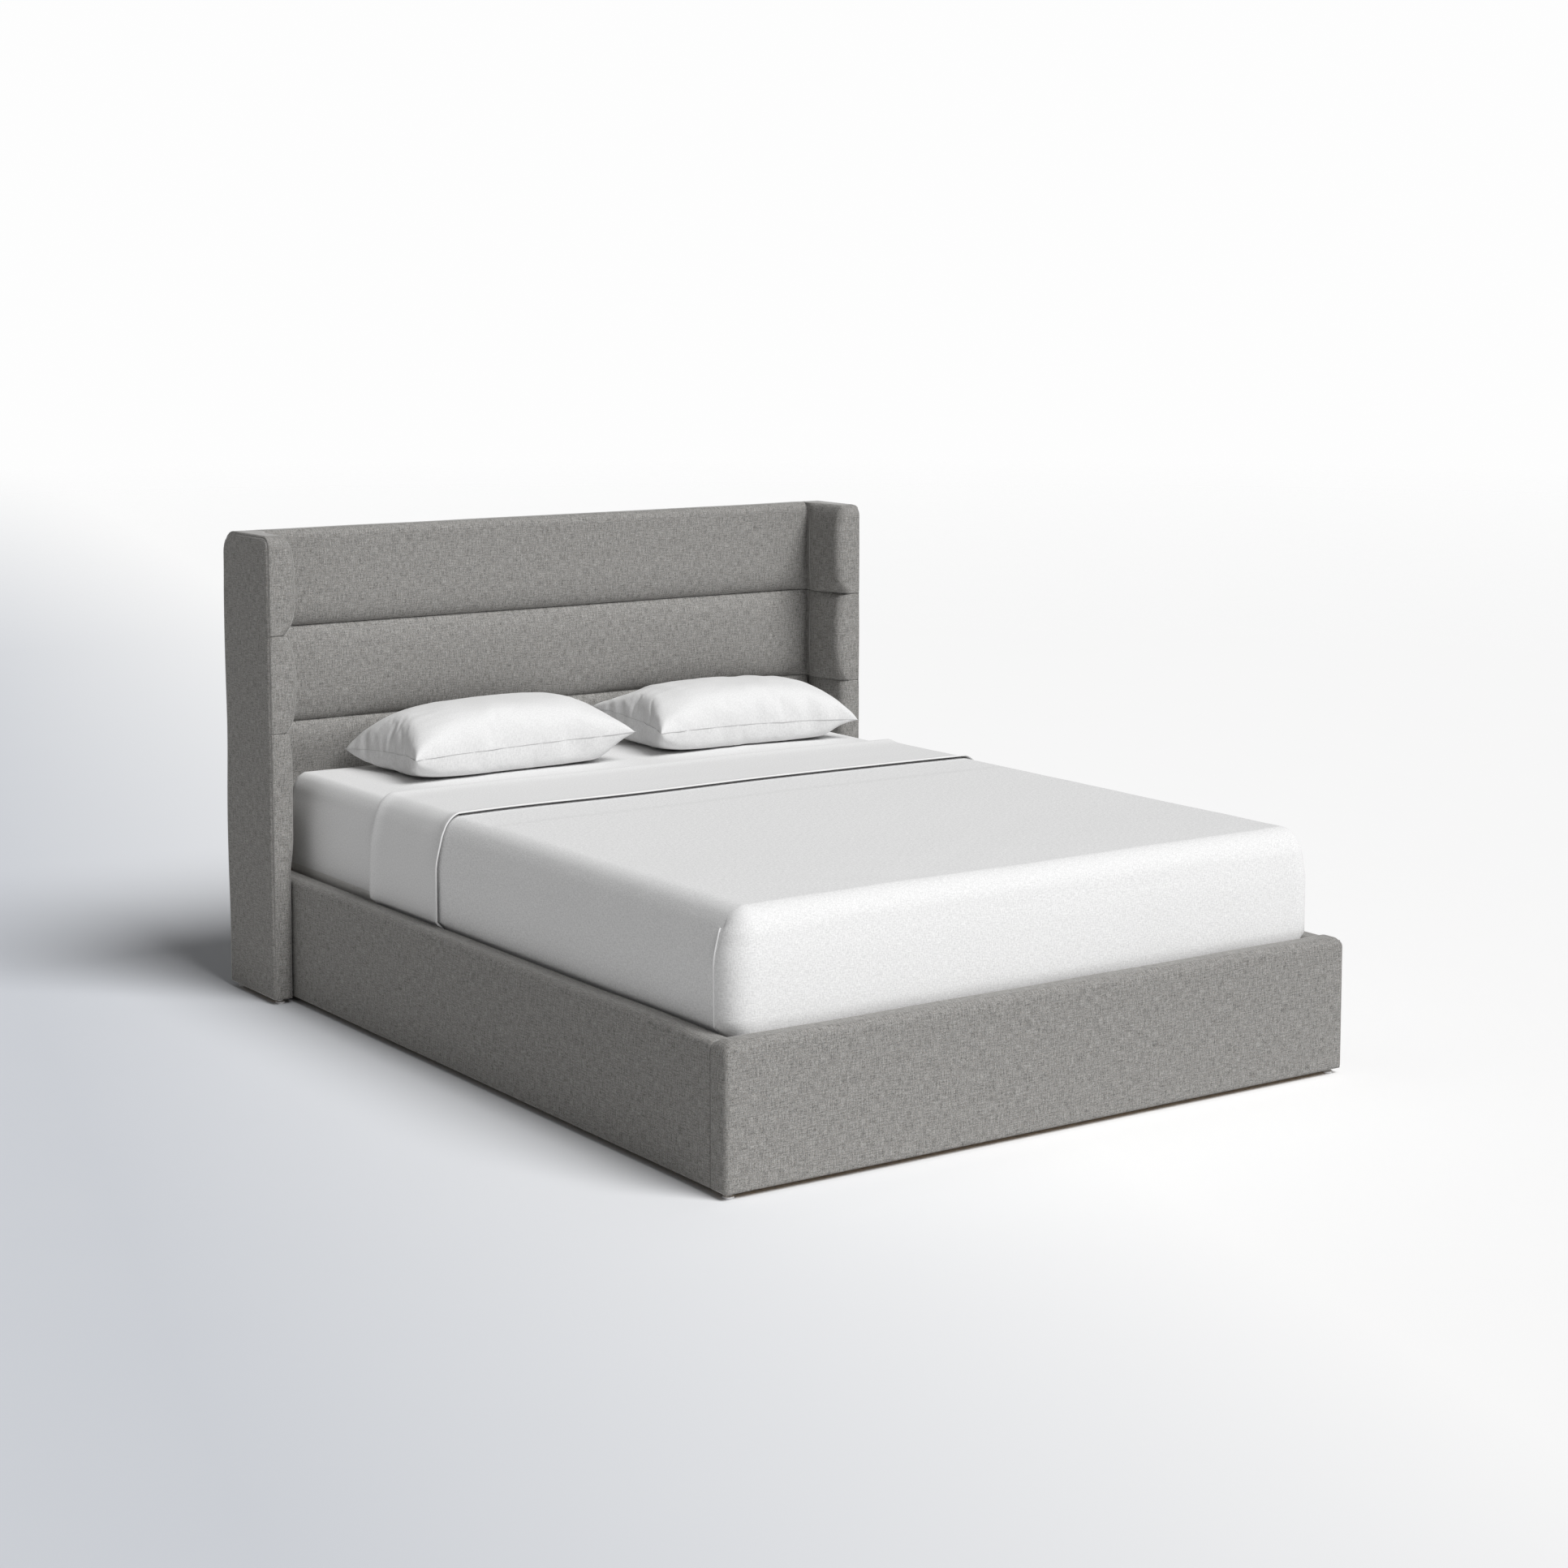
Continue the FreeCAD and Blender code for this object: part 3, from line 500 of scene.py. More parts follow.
def wing_shape(z0, z1, crown, seed, kind):
    """One wing channel: its inner face swells between the seams, its front edge is rolled, and the seams
    fade out across the front face. The cloth turns a small lip over the outer edge, where the side panel
    is sewn on."""
    outer = WING_OUT + WING_LIP

    def shape(p):
        inward = np.clip((WING_OUT - p[:, 0]) / (WING_OUT - crown), 0, 1)
        forward = np.clip(1 - (p[:, 1] - WING_FRONT) / (60 * MM), 0, 1)
        t = (p[:, 2] - (z0 + z1) / 2) / ((z1 - z0) / 2)
        notch = np.where(t > 0, WING_FLAT + 11 * MM, WING_FLAT + 5 * MM)
        if kind == "top":
            t = np.minimum(t + 0.2, 0) / 0.8
            notch = WING_FLAT + 11 * MM
        if kind == "lower":
            t = np.maximum((p[:, 2] - (z1 - 0.10)) / 0.10, 0)
            notch = WING_FLAT + 4 * MM
        out = swell(t, 2.3)
        rear = smooth(p[:, 1], PAD_FRONT - 40 * MM, PAD_FRONT - 5 * MM)
        p = round_edge(p, (0, 1), (crown, WING_FRONT), (1, 1), 23 * MM)
        p = round_edge(p, (0, 1), (outer, WING_FRONT), (-1, 1), 3.5 * MM)
        if kind == "top":
            behind = p[:, 1] > PAD_FRONT
            level = p.copy()
            p = round_edge(p, (1, 2), (WING_FRONT, TOP), (1, -1), WING_ROUND)
            fall = np.clip(1 - (TOP - p[:, 2]) / (95 * MM), 0, 1)
            shoulder = SHOULDER * (1 - np.sqrt(np.clip(1 - fall ** 2, 0, 1))) * (1 - rear)
            p[:, 0] += inward * shoulder
            p = round_edge(p, (0, 2), (outer, TOP), (-1, -1), 3.5 * MM)
            p[behind] = level[behind]
            p = top_back(p)
        if kind == "lower":
            p = round_edge(p, (1, 2), (WING_FRONT, z0), (1, 1), 8 * MM)
            p = round_edge(p, (0, 2), (crown, z0), (1, 1), 6 * MM)
        uneven = 0.8 * MM * waves(p, seed, 0.22)
        reach = 0.4 + 0.6 * (1 - smooth(p[:, 1], WING_FRONT + 30 * MM, WING_FRONT + 100 * MM))
        swollen = WING_SWELL * (1 - rear) * (smooth(p[:, 2], 0.310, 0.42) if kind == "lower" else 1)
        drawn = (notch - crown + swollen) * (1 - out) * reach * (1 - 0.6 * rear)
        p[:, 0] += inward * (drawn - swollen + 5 * MM * rear + uneven)
        across = smooth(p[:, 0], crown, WING_OUT)
        seam = 5 * MM if kind == "top" else 7 * MM
        p[:, 1] += forward * (seam * (1 - out) * (1 - 0.8 * across) + 0.6 * MM * waves(p, seed + 3, 0.15))
        return p
    return shape


def wing_channel(kind, z0, z1, crown, seed):
    near_top = 40 * MM if kind == "top" else 30 * MM
    outer = WING_OUT + WING_LIP
    xs = cuts(crown, outer, 6 * MM, 32 * MM, 9 * MM, 2.5 * MM)
    rear = BACK if kind == "top" else PAD_BACK - 1 * MM
    ys = cuts(WING_FRONT, rear, 9 * MM, 40 * MM, 0, 3 * MM)
    bottom, top = z0 + (SEAM_GAP if kind != "lower" else 0), z1 - (SEAM_GAP if kind != "top" else 0)
    zs = cuts(bottom, top, 9 * MM, 30 * MM, near_top, 3 * MM)

    def keep(c, n):
        if n[1] > 0:
            return kind == "top" and c[2] > TOP - UNDER_PANEL
        if n[0] > 0:
            return c[1] < WING_FRONT + WING_LIP or (kind == "top" and c[2] > TOP - WING_LIP)
        if n[2] and not (kind == "top" and n[2] > 0):
            return c[0] < WING_OUT - 27 * MM or c[1] < WING_FRONT + 11 * MM
        return True

    for name, side in SIDES:
        shape = wing_shape(z0, z1, crown, seed, kind)
        obj = block("wing_channel_%s_%s" % (kind, name), xs, ys, zs, shape, GREY, keep,
                    thick=4 * MM, flip=side < 0)
        soft(obj, "frame", ["wing_pad_%s_%s" % (kind, name)])


wing_channel("top", SEAM_HIGH, TOP, WING_CROWN, 41)
wing_channel("middle", SEAM_LOW, SEAM_HIGH, WING_CROWN, 51)
wing_channel("lower", FLOOR_GAP, SEAM_LOW, WING_FLAT, 61)


def wing_panels():
    """The flat padded panel on each wing's outer side, drawn in along its seams. Its back edge swells a
    little, with a waist halfway up."""
    outer = panel_hi[0]
    front_y, top_z = WING_FRONT + WING_LIP - 1.5 * MM, TOP - WING_LIP + 1.5 * MM
    xs = cuts(panel_lo[0], outer, 3 * MM)
    ys = cuts(front_y, BACK, 12 * MM, 40 * MM, 60 * MM, 4 * MM)
    zs = cuts(FLOOR_GAP, top_z, 12 * MM, 16 * MM, 60 * MM, 4 * MM)

    def shape(p):
        span = outer - panel_lo[0]
        out = (p[:, 0] - panel_lo[0]) / span
        edge = np.minimum.reduce([p[:, 1] - front_y, BACK - p[:, 1] + 4 * MM,
                                  top_z - p[:, 2], p[:, 2] - FLOOR_GAP])
        p = round_edge(p, (1, 2), (front_y, top_z), (1, -1), WING_ROUND - WING_LIP + 1.5 * MM)
        p = round_edge(p, (1, 2), (BACK, top_z), (-1, -1), 54 * MM)
        drawn = 1 - swell(np.clip(1 - edge / (7 * MM), 0, 1), 2.0)
        back = smooth(p[:, 1], BACK - 60 * MM, BACK)
        waist = 0.5 + 0.5 * np.cos((p[:, 2] - 0.95) / 0.27 * math.pi)
        puff = 7 * MM * (waist - 0.45) * smooth(p[:, 2], 0.05, 0.3) * (1 - smooth(p[:, 2], 1.00, 1.14))
        p[:, 1] += back * puff
        p[:, 0] += out * (-3.6 * MM * drawn + 1.0 * MM * waves(p, 71, 0.35) + 0.8 * MM)
        return p

    for name, side in SIDES:
        obj = block("wing_panel_" + name, xs, ys, zs, shape, GREY, flip=side < 0)
        soft(obj, "frame", ["wing_side_cover_" + name])


def stitches(name, path, body, length=4.2 * MM, gap=2.4 * MM, radius=0.55 * MM):
    """A row of topstitching along a path of points: short raised threads, joined as one piece."""
    path = np.array(path)
    steps = np.linalg.norm(np.diff(path, axis=0), axis=1)
    run = np.concatenate([[0], np.cumsum(steps)])
    points, quads = [], []
    start = 0.0
    while start + length < run[-1]:
        ends = [np.array([np.interp(along, run, path[:, n]) for n in range(3)])
                for along in (start, start + length)]
        way = ends[1] - ends[0]
        way /= np.linalg.norm(way)
        side = np.cross(way, (0.3, 0.5, 0.8))
        side /= np.linalg.norm(side)
        up = np.cross(way, side)
        first = len(points)
        for along, size in ((0.0, 0.35), (0.25, 1.0), (0.75, 1.0), (1.0, 0.35)):
            centre = ends[0] + (ends[1] - ends[0]) * along
            for turn in range(4):
                angle = math.pi / 4 + turn * math.pi / 2
                out = side * math.cos(angle) + up * math.sin(angle)
                points.append(tuple(centre + radius * size * out))
        for ring in range(3):
            for turn in range(4):
                a, b = first + ring * 4 + turn, first + ring * 4 + (turn + 1) % 4
                quads.append((a, b, b + 4, a + 4))
        quads.append((first + 3, first + 2, first + 1, first))
        quads.append((first + 12, first + 13, first + 14, first + 15))
        start += length + gap
    mesh = bpy.data.meshes.new(name)
    mesh.from_pydata(points, [], quads)
    return soft(new_object(name, mesh, STITCH), body)


def wing_stitching():
    """Topstitching just inside the side panel's seam, up the wing's front face and back along its top."""
    x, inset = WING_OUT + WING_LIP - 5 * MM, 0.2 * MM
    path = [(x, WING_FRONT - inset, z) for z in np.linspace(FLOOR_GAP + 20 * MM, TOP - WING_ROUND, 80)]
    for angle in np.linspace(0, math.pi / 2, 14):
        path.append((x, WING_FRONT + WING_ROUND - (WING_ROUND + inset) * math.cos(angle),
                     TOP - WING_ROUND + (WING_ROUND + inset) * math.sin(angle)))
    path += [(x, y, TOP + inset) for y in np.linspace(WING_FRONT + WING_ROUND, BACK - 62 * MM, 20)]
    for name, side in SIDES:
        stitches("wing_topstitch_" + name, [(side * a, b, c) for a, b, c in path], "frame")


wing_stitching()
wing_panels()


# ------------ headboard back

def back_panel():
    lo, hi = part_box("headboard_back_cover")
    xs = cuts(lo[0], hi[0], 25 * MM, 16 * MM, 16 * MM)
    ys = cuts(lo[1], hi[1], 4 * MM)
    zs = cuts(lo[2], TOP, 20 * MM, 16 * MM, 60 * MM)

    def shape(p):
        out = (p[:, 1] - lo[1]) / (hi[1] - lo[1])
        edge = np.minimum(hi[0] - np.abs(p[:, 0]), p[:, 2] - lo[2])
        drawn = 1 - swell(np.clip(1 - edge / (9 * MM), 0, 1), 2.0)
        p = top_back(p)
        p[:, 1] += out * (2.2 * MM - 4 * MM * drawn + 0.8 * MM * waves(p, 81, 0.4))
        return p

    obj = block("headboard_back_panel", xs, ys, zs, shape, GREY)
    soft(obj, "frame", ["headboard_back_cover"])


back_panel()


# ------------ footboard and side rails

foot_lo, foot_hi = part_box("footboard_cover")
rail_lo, rail_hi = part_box("side_rail_cover_right")
LIP_BOTTOM = 270 * MM  # the height that the cloth goes down to inside the well


def footboard():
    xs = cuts(foot_lo[0], foot_hi[0], 16 * MM, 30 * MM, 30 * MM, 3.5 * MM)
    ys = cuts(foot_lo[1], foot_hi[1], 6 * MM, 20 * MM, 16 * MM, 3 * MM)
    zs = np.concatenate([cuts(foot_lo[2], LIP_BOTTOM, 12 * MM, 12 * MM, 0)[:-1],
                         cuts(LIP_BOTTOM, foot_hi[2], 6 * MM, 0, 30 * MM, 3 * MM)])

    def shape(p):
        top, front, end = foot_hi[2], foot_lo[1], foot_hi[0]
        for side in (-1, 1):
            p = round_edge(p, (0, 1), (side * end, front), (-side, 1), 11 * MM)
            p = round_edge(p, (0, 1), (side * end, foot_hi[1]), (-side, -1), 5 * MM)
            p = round_edge(p, (0, 2), (side * end, top), (-side, -1), 25 * MM)
            p = round_edge(p, (0, 2), (side * end, foot_lo[2]), (-side, 1), 6 * MM)
        p = round_edge(p, (1, 2), (front, top), (1, -1), 17 * MM)
        p = round_edge(p, (1, 2), (foot_hi[1], top), (-1, -1), 14 * MM)
        p = round_edge(p, (1, 2), (front, foot_lo[2]), (1, 1), 7 * MM)
        face = np.clip((foot_hi[1] - p[:, 1]) / (foot_hi[1] - front), 0, 1)
        p[:, 1] += face * (0.9 * MM * waves(p, 91, 0.5) - 0.8 * MM)
        p[:, 2] += smooth(p[:, 2], top - 30 * MM, top) * 0.9 * MM * waves(p, 92, 0.35)
        return p

    def keep(c, n):
        if n[2] < 0:
            return c[1] < foot_lo[1] + 11 * MM
        if n[1] > 0:
            return c[2] > LIP_BOTTOM or abs(c[0]) > foot_hi[0] - 10 * MM
        return True

    obj = block("footboard_upholstery", xs, ys, zs, shape, GREY, keep, thick=COVER_THICK)
    soft(obj, "frame", ["footboard_cover"])


def side_rails():
    xs = cuts(rail_lo[0], rail_hi[0], 6 * MM, 12 * MM, 16 * MM, 3 * MM)
    ys = cuts(rail_lo[1] + 1.0 * MM, rail_hi[1], 18 * MM, 9 * MM, 0, 3 * MM)
    zs = np.concatenate([cuts(rail_lo[2], LIP_BOTTOM, 12 * MM, 12 * MM, 0)[:-1],
                         cuts(LIP_BOTTOM, rail_hi[2], 6 * MM, 0, 20 * MM, 3 * MM)])

    def shape(p):
        top, outer = rail_hi[2], rail_hi[0]
        p = round_edge(p, (0, 2), (outer, top), (-1, -1), 15 * MM)
        p = round_edge(p, (0, 2), (rail_lo[0], top), (1, -1), 11 * MM)
        p = round_edge(p, (0, 2), (outer, rail_lo[2]), (-1, 1), 7 * MM)
        p = round_edge(p, (0, 1), (outer, rail_lo[1]), (-1, 1), 6 * MM)
        p = round_edge(p, (1, 2), (rail_lo[1], top), (1, -1), 8 * MM)
        face = np.clip((p[:, 0] - rail_lo[0]) / (outer - rail_lo[0]), 0, 1)
        p[:, 0] += face * (1.1 * MM * waves(p, 95, 0.5) - 0.8 * MM)
        p[:, 2] += smooth(p[:, 2], top - 30 * MM, top) * 1.4 * MM * waves(p, 96, 0.4)
        return p

    def keep(c, n):
        if n[1] > 0:
            return False
        if n[2] < 0:
            return c[0] > rail_hi[0] - 15 * MM
        if n[0] < 0:
            return c[2] > LIP_BOTTOM
        if n[1] < 0:
            return c[2] > LIP_BOTTOM or c[0] > rail_hi[0] - 16 * MM
        return True

    for name, side in SIDES:
        obj = block("side_rail_upholstery_" + name, xs, ys, zs, shape, GREY, keep,
                    thick=COVER_THICK, flip=side < 0)
        soft(obj, "frame", ["side_rail_cover_" + name])


footboard()
side_rails()


# ------------ mattress and bedding

bed_lo, bed_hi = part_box("mattress")
BED_HALF, BED_FOOT, BED_HEAD, BED_TOP = bed_hi[0], bed_lo[1], bed_hi[1], bed_hi[2]
CORNER, HEAD_CORNER, EDGE = 32 * MM, 22 * MM, 40 * MM  # roundings at the foot, at the head, round the top
SIDE_BELLY, FOOT_BELLY, CROWN = 20 * MM, 7 * MM, 3 * MM  # how far the sides, foot and top swell
SIDE_GRIP = 13.2 * MM  # how far the sides fill the well
HEAD_TUCK = 3 * MM  # how far the head end keeps clear of the headboard
SHEET_OUT = BED_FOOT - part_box("fitted_sheet")[0][1]
BLANKET_OUT = BED_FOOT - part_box("blanket")[0][1]
CUFF_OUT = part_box("sheet_cuff")[1][2] - BED_TOP
FOLD_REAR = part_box("sheet_cuff")[1][1]
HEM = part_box("sheet_cuff")[0][1]
RAIL_LEVEL = 300 * MM


def cord(name, places, radius, material, body, closed=False):
    """A thin round thread or piping through the given places."""
    curve = bpy.data.curves.new(name, "CURVE")
    curve.dimensions = "3D"
    curve.bevel_depth = radius
    curve.bevel_resolution = 1
    line = curve.splines.new("POLY")
    line.points.add(len(places) - 1)
    for point, place in zip(line.points, places):
        point.co = tuple(place) + (1,)
    line.use_cyclic_u = closed
    drawn = bpy.data.objects.new(name, curve)
    bpy.context.scene.collection.objects.link(drawn)
    mesh = bpy.data.meshes.new_from_object(drawn.evaluated_get(bpy.context.evaluated_depsgraph_get()))
    bpy.data.objects.remove(drawn)
    obj = new_object(name, mesh)
    mesh.materials.clear()
    mesh.materials.append(material)
    return soft(obj, body)


def bed_block(p, grow, extra=None):
    """The mattress's soft block grown outwards by grow, with rounded corners, a soft top edge and sides
    that bulge between the rails and the top. extra(points) says how much further out each place of the
    unrounded block goes."""
    flat = p.copy()
    more = extra(flat) if extra else 0.0
    half, foot, head, top = BED_HALF + grow, BED_FOOT - grow, BED_HEAD + grow, BED_TOP + grow
    for side in (-1, 1):
        p = round_edge(p, (0, 1), (side * half, foot), (-side, 1), CORNER + grow)
        p = round_edge(p, (0, 1), (side * half, head), (-side, -1), HEAD_CORNER + grow)
    radius = np.where(p[:, 1] > 0, HEAD_CORNER, CORNER) + grow
    inner = np.stack([np.clip(p[:, 0], radius - half, half - radius),
                      np.clip(p[:, 1], foot + radius, head - radius)], 1)
    away = p[:, :2] - inner
    reach = np.linalg.norm(away, axis=1)
    edge = EDGE + grow
    inset = np.where(reach > 0, radius - reach, radius)
    a = edge - inset
    b = edge - (top - p[:, 2])
    hit = (a > 0) & (b > 0)
    long = np.maximum(np.hypot(a, b), 1e-9)
    k = np.where(hit, np.maximum(a, b) / long, 1.0)
    new_inset = np.where(hit, edge - a * k, inset)
    p[:, 2] = np.where(hit, top - (edge - b * k), p[:, 2])
    way = away / np.maximum(reach, 1e-9)[:, None]
    up = np.where(hit, b / long, np.where(b > edge - 1e-6, 1.0, 0.0))
    out = np.where(hit, a / long, 1.0 - up)
    p[:, :2] += way * (inset - new_inset)[:, None]
    height = np.clip((p[:, 2] - RAIL_LEVEL) / (BED_TOP - 20 * MM - RAIL_LEVEL), 0, 1)
    belly = smooth(height, 0, 0.1) * (1 - smooth(height, 0.6, 1.1))
    gripped = (SIDE_GRIP - 0.6 * grow) * (1 - smooth(height, 0.05, 0.5))
    sides = np.maximum(SIDE_BELLY * belly, gripped)
    full = sides * way[:, 0] ** 2 + FOOT_BELLY * belly * np.where(way[:, 1] < 0, way[:, 1] ** 2, 0)
    side_out = full * np.where(up < 0.99, 1, 0) + 1.2 * MM * belly * waves(p, 102, 0.33)
    side_out = side_out - HEAD_TUCK * np.where(way[:, 1] > 0, way[:, 1] ** 2, 0)
    lengthwise = (p[:, 1] - (foot + head) / 2) / ((head - foot) / 2)
    crown = (1 - (p[:, 0] / half) ** 4) * (1 - np.abs(lengthwise) ** 6)
    above = smooth(p[:, 2], top - 60 * MM, top)
    p[:, :2] += way * (side_out + out * more)[:, None]
    p[:, 2] += above * (CROWN * crown + 1.6 * MM * waves(p, 101, 0.55)) + up * more
    return p


def bed_cuts(grow, foot, head, bottom, step):
    half = BED_HALF + grow
    near = 80 * MM
    xs = cuts(-half, half, step, near, near, 8 * MM)
    near_foot = near if foot < BED_FOOT + near else 0
    near_head = near if head > BED_HEAD - near else 0
    ys = cuts(foot, head, step, near_foot, near_head, 8 * MM)
    zs = cuts(bottom, BED_TOP + grow, step, 0, near, 8 * MM)
    return xs, ys, zs


def mattress():
    xs, ys, zs = bed_cuts(0, BED_FOOT, BED_HEAD, bed_lo[2], 30 * MM)

    def shape(p):
        p = bed_block(p, 0)
        for side in (-1, 1):
            p = round_edge(p, (0, 2), (side * BED_HALF, bed_lo[2]), (-side, 1), 15 * MM)
        return p

    obj = block("mattress_body", xs, ys, zs, shape, TICKING)
    soft(obj, "made_up_mattress", ["mattress"])


def fitted_sheet():
    lo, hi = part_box("fitted_sheet")
    xs, ys, zs = bed_cuts(SHEET_OUT, lo[1], hi[1], lo[2], 20 * MM)

    def extra(p):
        """Faint pulls running in from the head corners and under the pillows."""
        return 0.4 * MM * waves(p * (1, 0.25, 1), 103, 0.07) * smooth(p[:, 1], 0.45, 0.6)

    obj = block("fitted_sheet_cloth", xs, ys, zs, lambda p: bed_block(p, SHEET_OUT, extra), SHEET,
                keep=lambda c, n: n[2] >= 0, thick=1.2 * MM)
    soft(obj, "made_up_mattress", ["fitted_sheet"])


FLAP = BED_FOOT + 43 * MM  # where the corner folds' edges stand
FLAP_TOP = 524 * MM


def blanket():
    lo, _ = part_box("blanket")
    rear = FOLD_REAR - 15 * MM
    xs, ys, zs = bed_cuts(BLANKET_OUT, lo[1], rear, lo[2], 16 * MM)
    ys = np.concatenate([ys[ys < FLAP - 15 * MM], np.arange(FLAP - 15 * MM, FLAP + 15 * MM, 1.25 * MM),
                         ys[ys > FLAP + 15 * MM]])

    def extra(p):
        """The layer folded under at each foot corner, and a small notch where its edge starts."""
        on_side = np.abs(p[:, 0]) > BED_HALF
        low = 1 - smooth(p[:, 2], FLAP_TOP - 10 * MM, FLAP_TOP + 2 * MM)
        along = p[:, 1] - FLAP
        layer = 2.4 * MM * (1 - smooth(along, -2.5 * MM, 0))
        faded = 1 - smooth(-np.abs(p[:, 0]), -0.70, -0.45)
        fold = np.where(on_side, layer, layer * faded)
        notch = np.exp(-((along + 6 * MM) / (6 * MM)) ** 2
                       - ((p[:, 2] - FLAP_TOP - 3 * MM) / (5 * MM)) ** 2)
        ripple = 0.5 * MM * waves(p * (1, 1, 0.4), 104, 0.11) * smooth(-p[:, 1], -0.3, 1.0)
        return fold * low - np.where(on_side, 3.5 * MM * notch, 0) + ripple

    def shape(p):
        return bed_block(p, BLANKET_OUT, extra)

    obj = block("blanket_cloth", xs, ys, zs, shape, BLANKET,
                keep=lambda c, n: n[2] >= 0 and n[1] <= 0, thick=6 * MM)
    for name, side in SIDES:
        heights = np.linspace(lo[2] + 2 * MM, FLAP_TOP - 4 * MM, 60)
        line = np.array([(side * xs[-1], FLAP - 2.0 * MM, z) for z in heights])
        places = shape(line) + (side * 0.9 * MM, 0, 0)
        # the corner fold's edge is real; the cord's whiter colour is a painted highlight on it
        cord("blanket_corner_edge_" + name, [tuple(q) for q in places], 2.0 * MM, LINEN_EDGE_HIGHLIGHT,
                          "made_up_mattress")
    soft(obj, "made_up_mattress", ["blanket"])


def folded_sheet():
    """The top sheet folded back over the blanket: its hem stands a little off the blanket, and its back
    edge is a soft roll."""
    lo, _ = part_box("sheet_cuff")
    xs, _, zs = bed_cuts(CUFF_OUT, HEM, FOLD_REAR, lo[2], 16 * MM)
    ys = cuts(HEM, FOLD_REAR, 14 * MM, 12 * MM, 36 * MM, 1.5 * MM)
    roll = 8 * MM

    def extra(p):
        from_rear = np.clip(FOLD_REAR - p[:, 1], 0, roll)
        round_back = np.sqrt(np.clip(1 - (1 - from_rear / roll) ** 2, 0, 1))
        drop = (CUFF_OUT - SHEET_OUT - 3.4 * MM) * (1 - round_back)
        flat = 3.2 * MM * smooth(p[:, 1], HEM + 2 * MM, HEM + 40 * MM)
        flat *= 1 - smooth(p[:, 1], FOLD_REAR - 50 * MM, FOLD_REAR - 18 * MM)
        bead = 1.6 * MM * np.exp(-((p[:, 1] - FOLD_REAR + 13 * MM) / (10 * MM)) ** 2) * round_back
        bead += 1.8 * MM * (1 - smooth(p[:, 1], HEM + 4 * MM, HEM + 30 * MM))
        ripple = 0.5 * MM * waves(p * (0.35, 1, 1), 105, 0.08) * smooth(p[:, 1], HEM + 6 * MM, HEM + 60 * MM)
        return ripple + bead - drop - flat

    def shape(p):
        wander = 2.2 * MM * waves(p * (1, 0, 0.2), 106, 0.5)
        back = 3.0 * MM * waves(p * (1, 0, 1), 107, 0.3) * smooth(p[:, 1], HEM + 0.1, FOLD_REAR)
        q = bed_block(p, CUFF_OUT, extra)
        q[:, 1] += wander + back
        return q

    obj = block("sheet_cuff_cloth", xs, ys, zs, shape, SHEET,
                keep=lambda c, n: n[2] >= 0 and n[1] == 0, thick=2.2 * MM)
    soft(obj, "made_up_mattress", ["sheet_cuff"])
    side, top = xs[-1], zs[-1]
    round_the_bed = [(-side, HEM, z) for z in np.linspace(zs[0] + 2 * MM, top, 60)]
    round_the_bed += [(x, HEM, top) for x in np.linspace(-side, side, 200)[1:-1]]
    round_the_bed += [(side, HEM, z) for z in np.linspace(top, zs[0] + 2 * MM, 60)]
    places = shape(np.array(round_the_bed)) + (0, -0.6 * MM, -0.4 * MM)
    # the hem's rolled edge is real; the cord's whiter colour is a painted highlight on it
    hem = cord("sheet_cuff_hem", [tuple(q) for q in places], 2.2 * MM, LINEN_EDGE_HIGHLIGHT,
               "made_up_mattress")


mattress()
fitted_sheet()
blanket()
folded_sheet()


# ------------ pillows

PILLOW_WIDE, PILLOW_DEEP = 0.70, 0.45
PILLOW_CELL = 7 * MM
SEAM_LEVEL, TOP_LEVEL = 62 * MM, 168 * MM
CREASE_IN, CREASE_UP = 6 * MM, 3 * MM
FOLD_IN, FOLD_UP = 6.5 * MM, 7 * MM


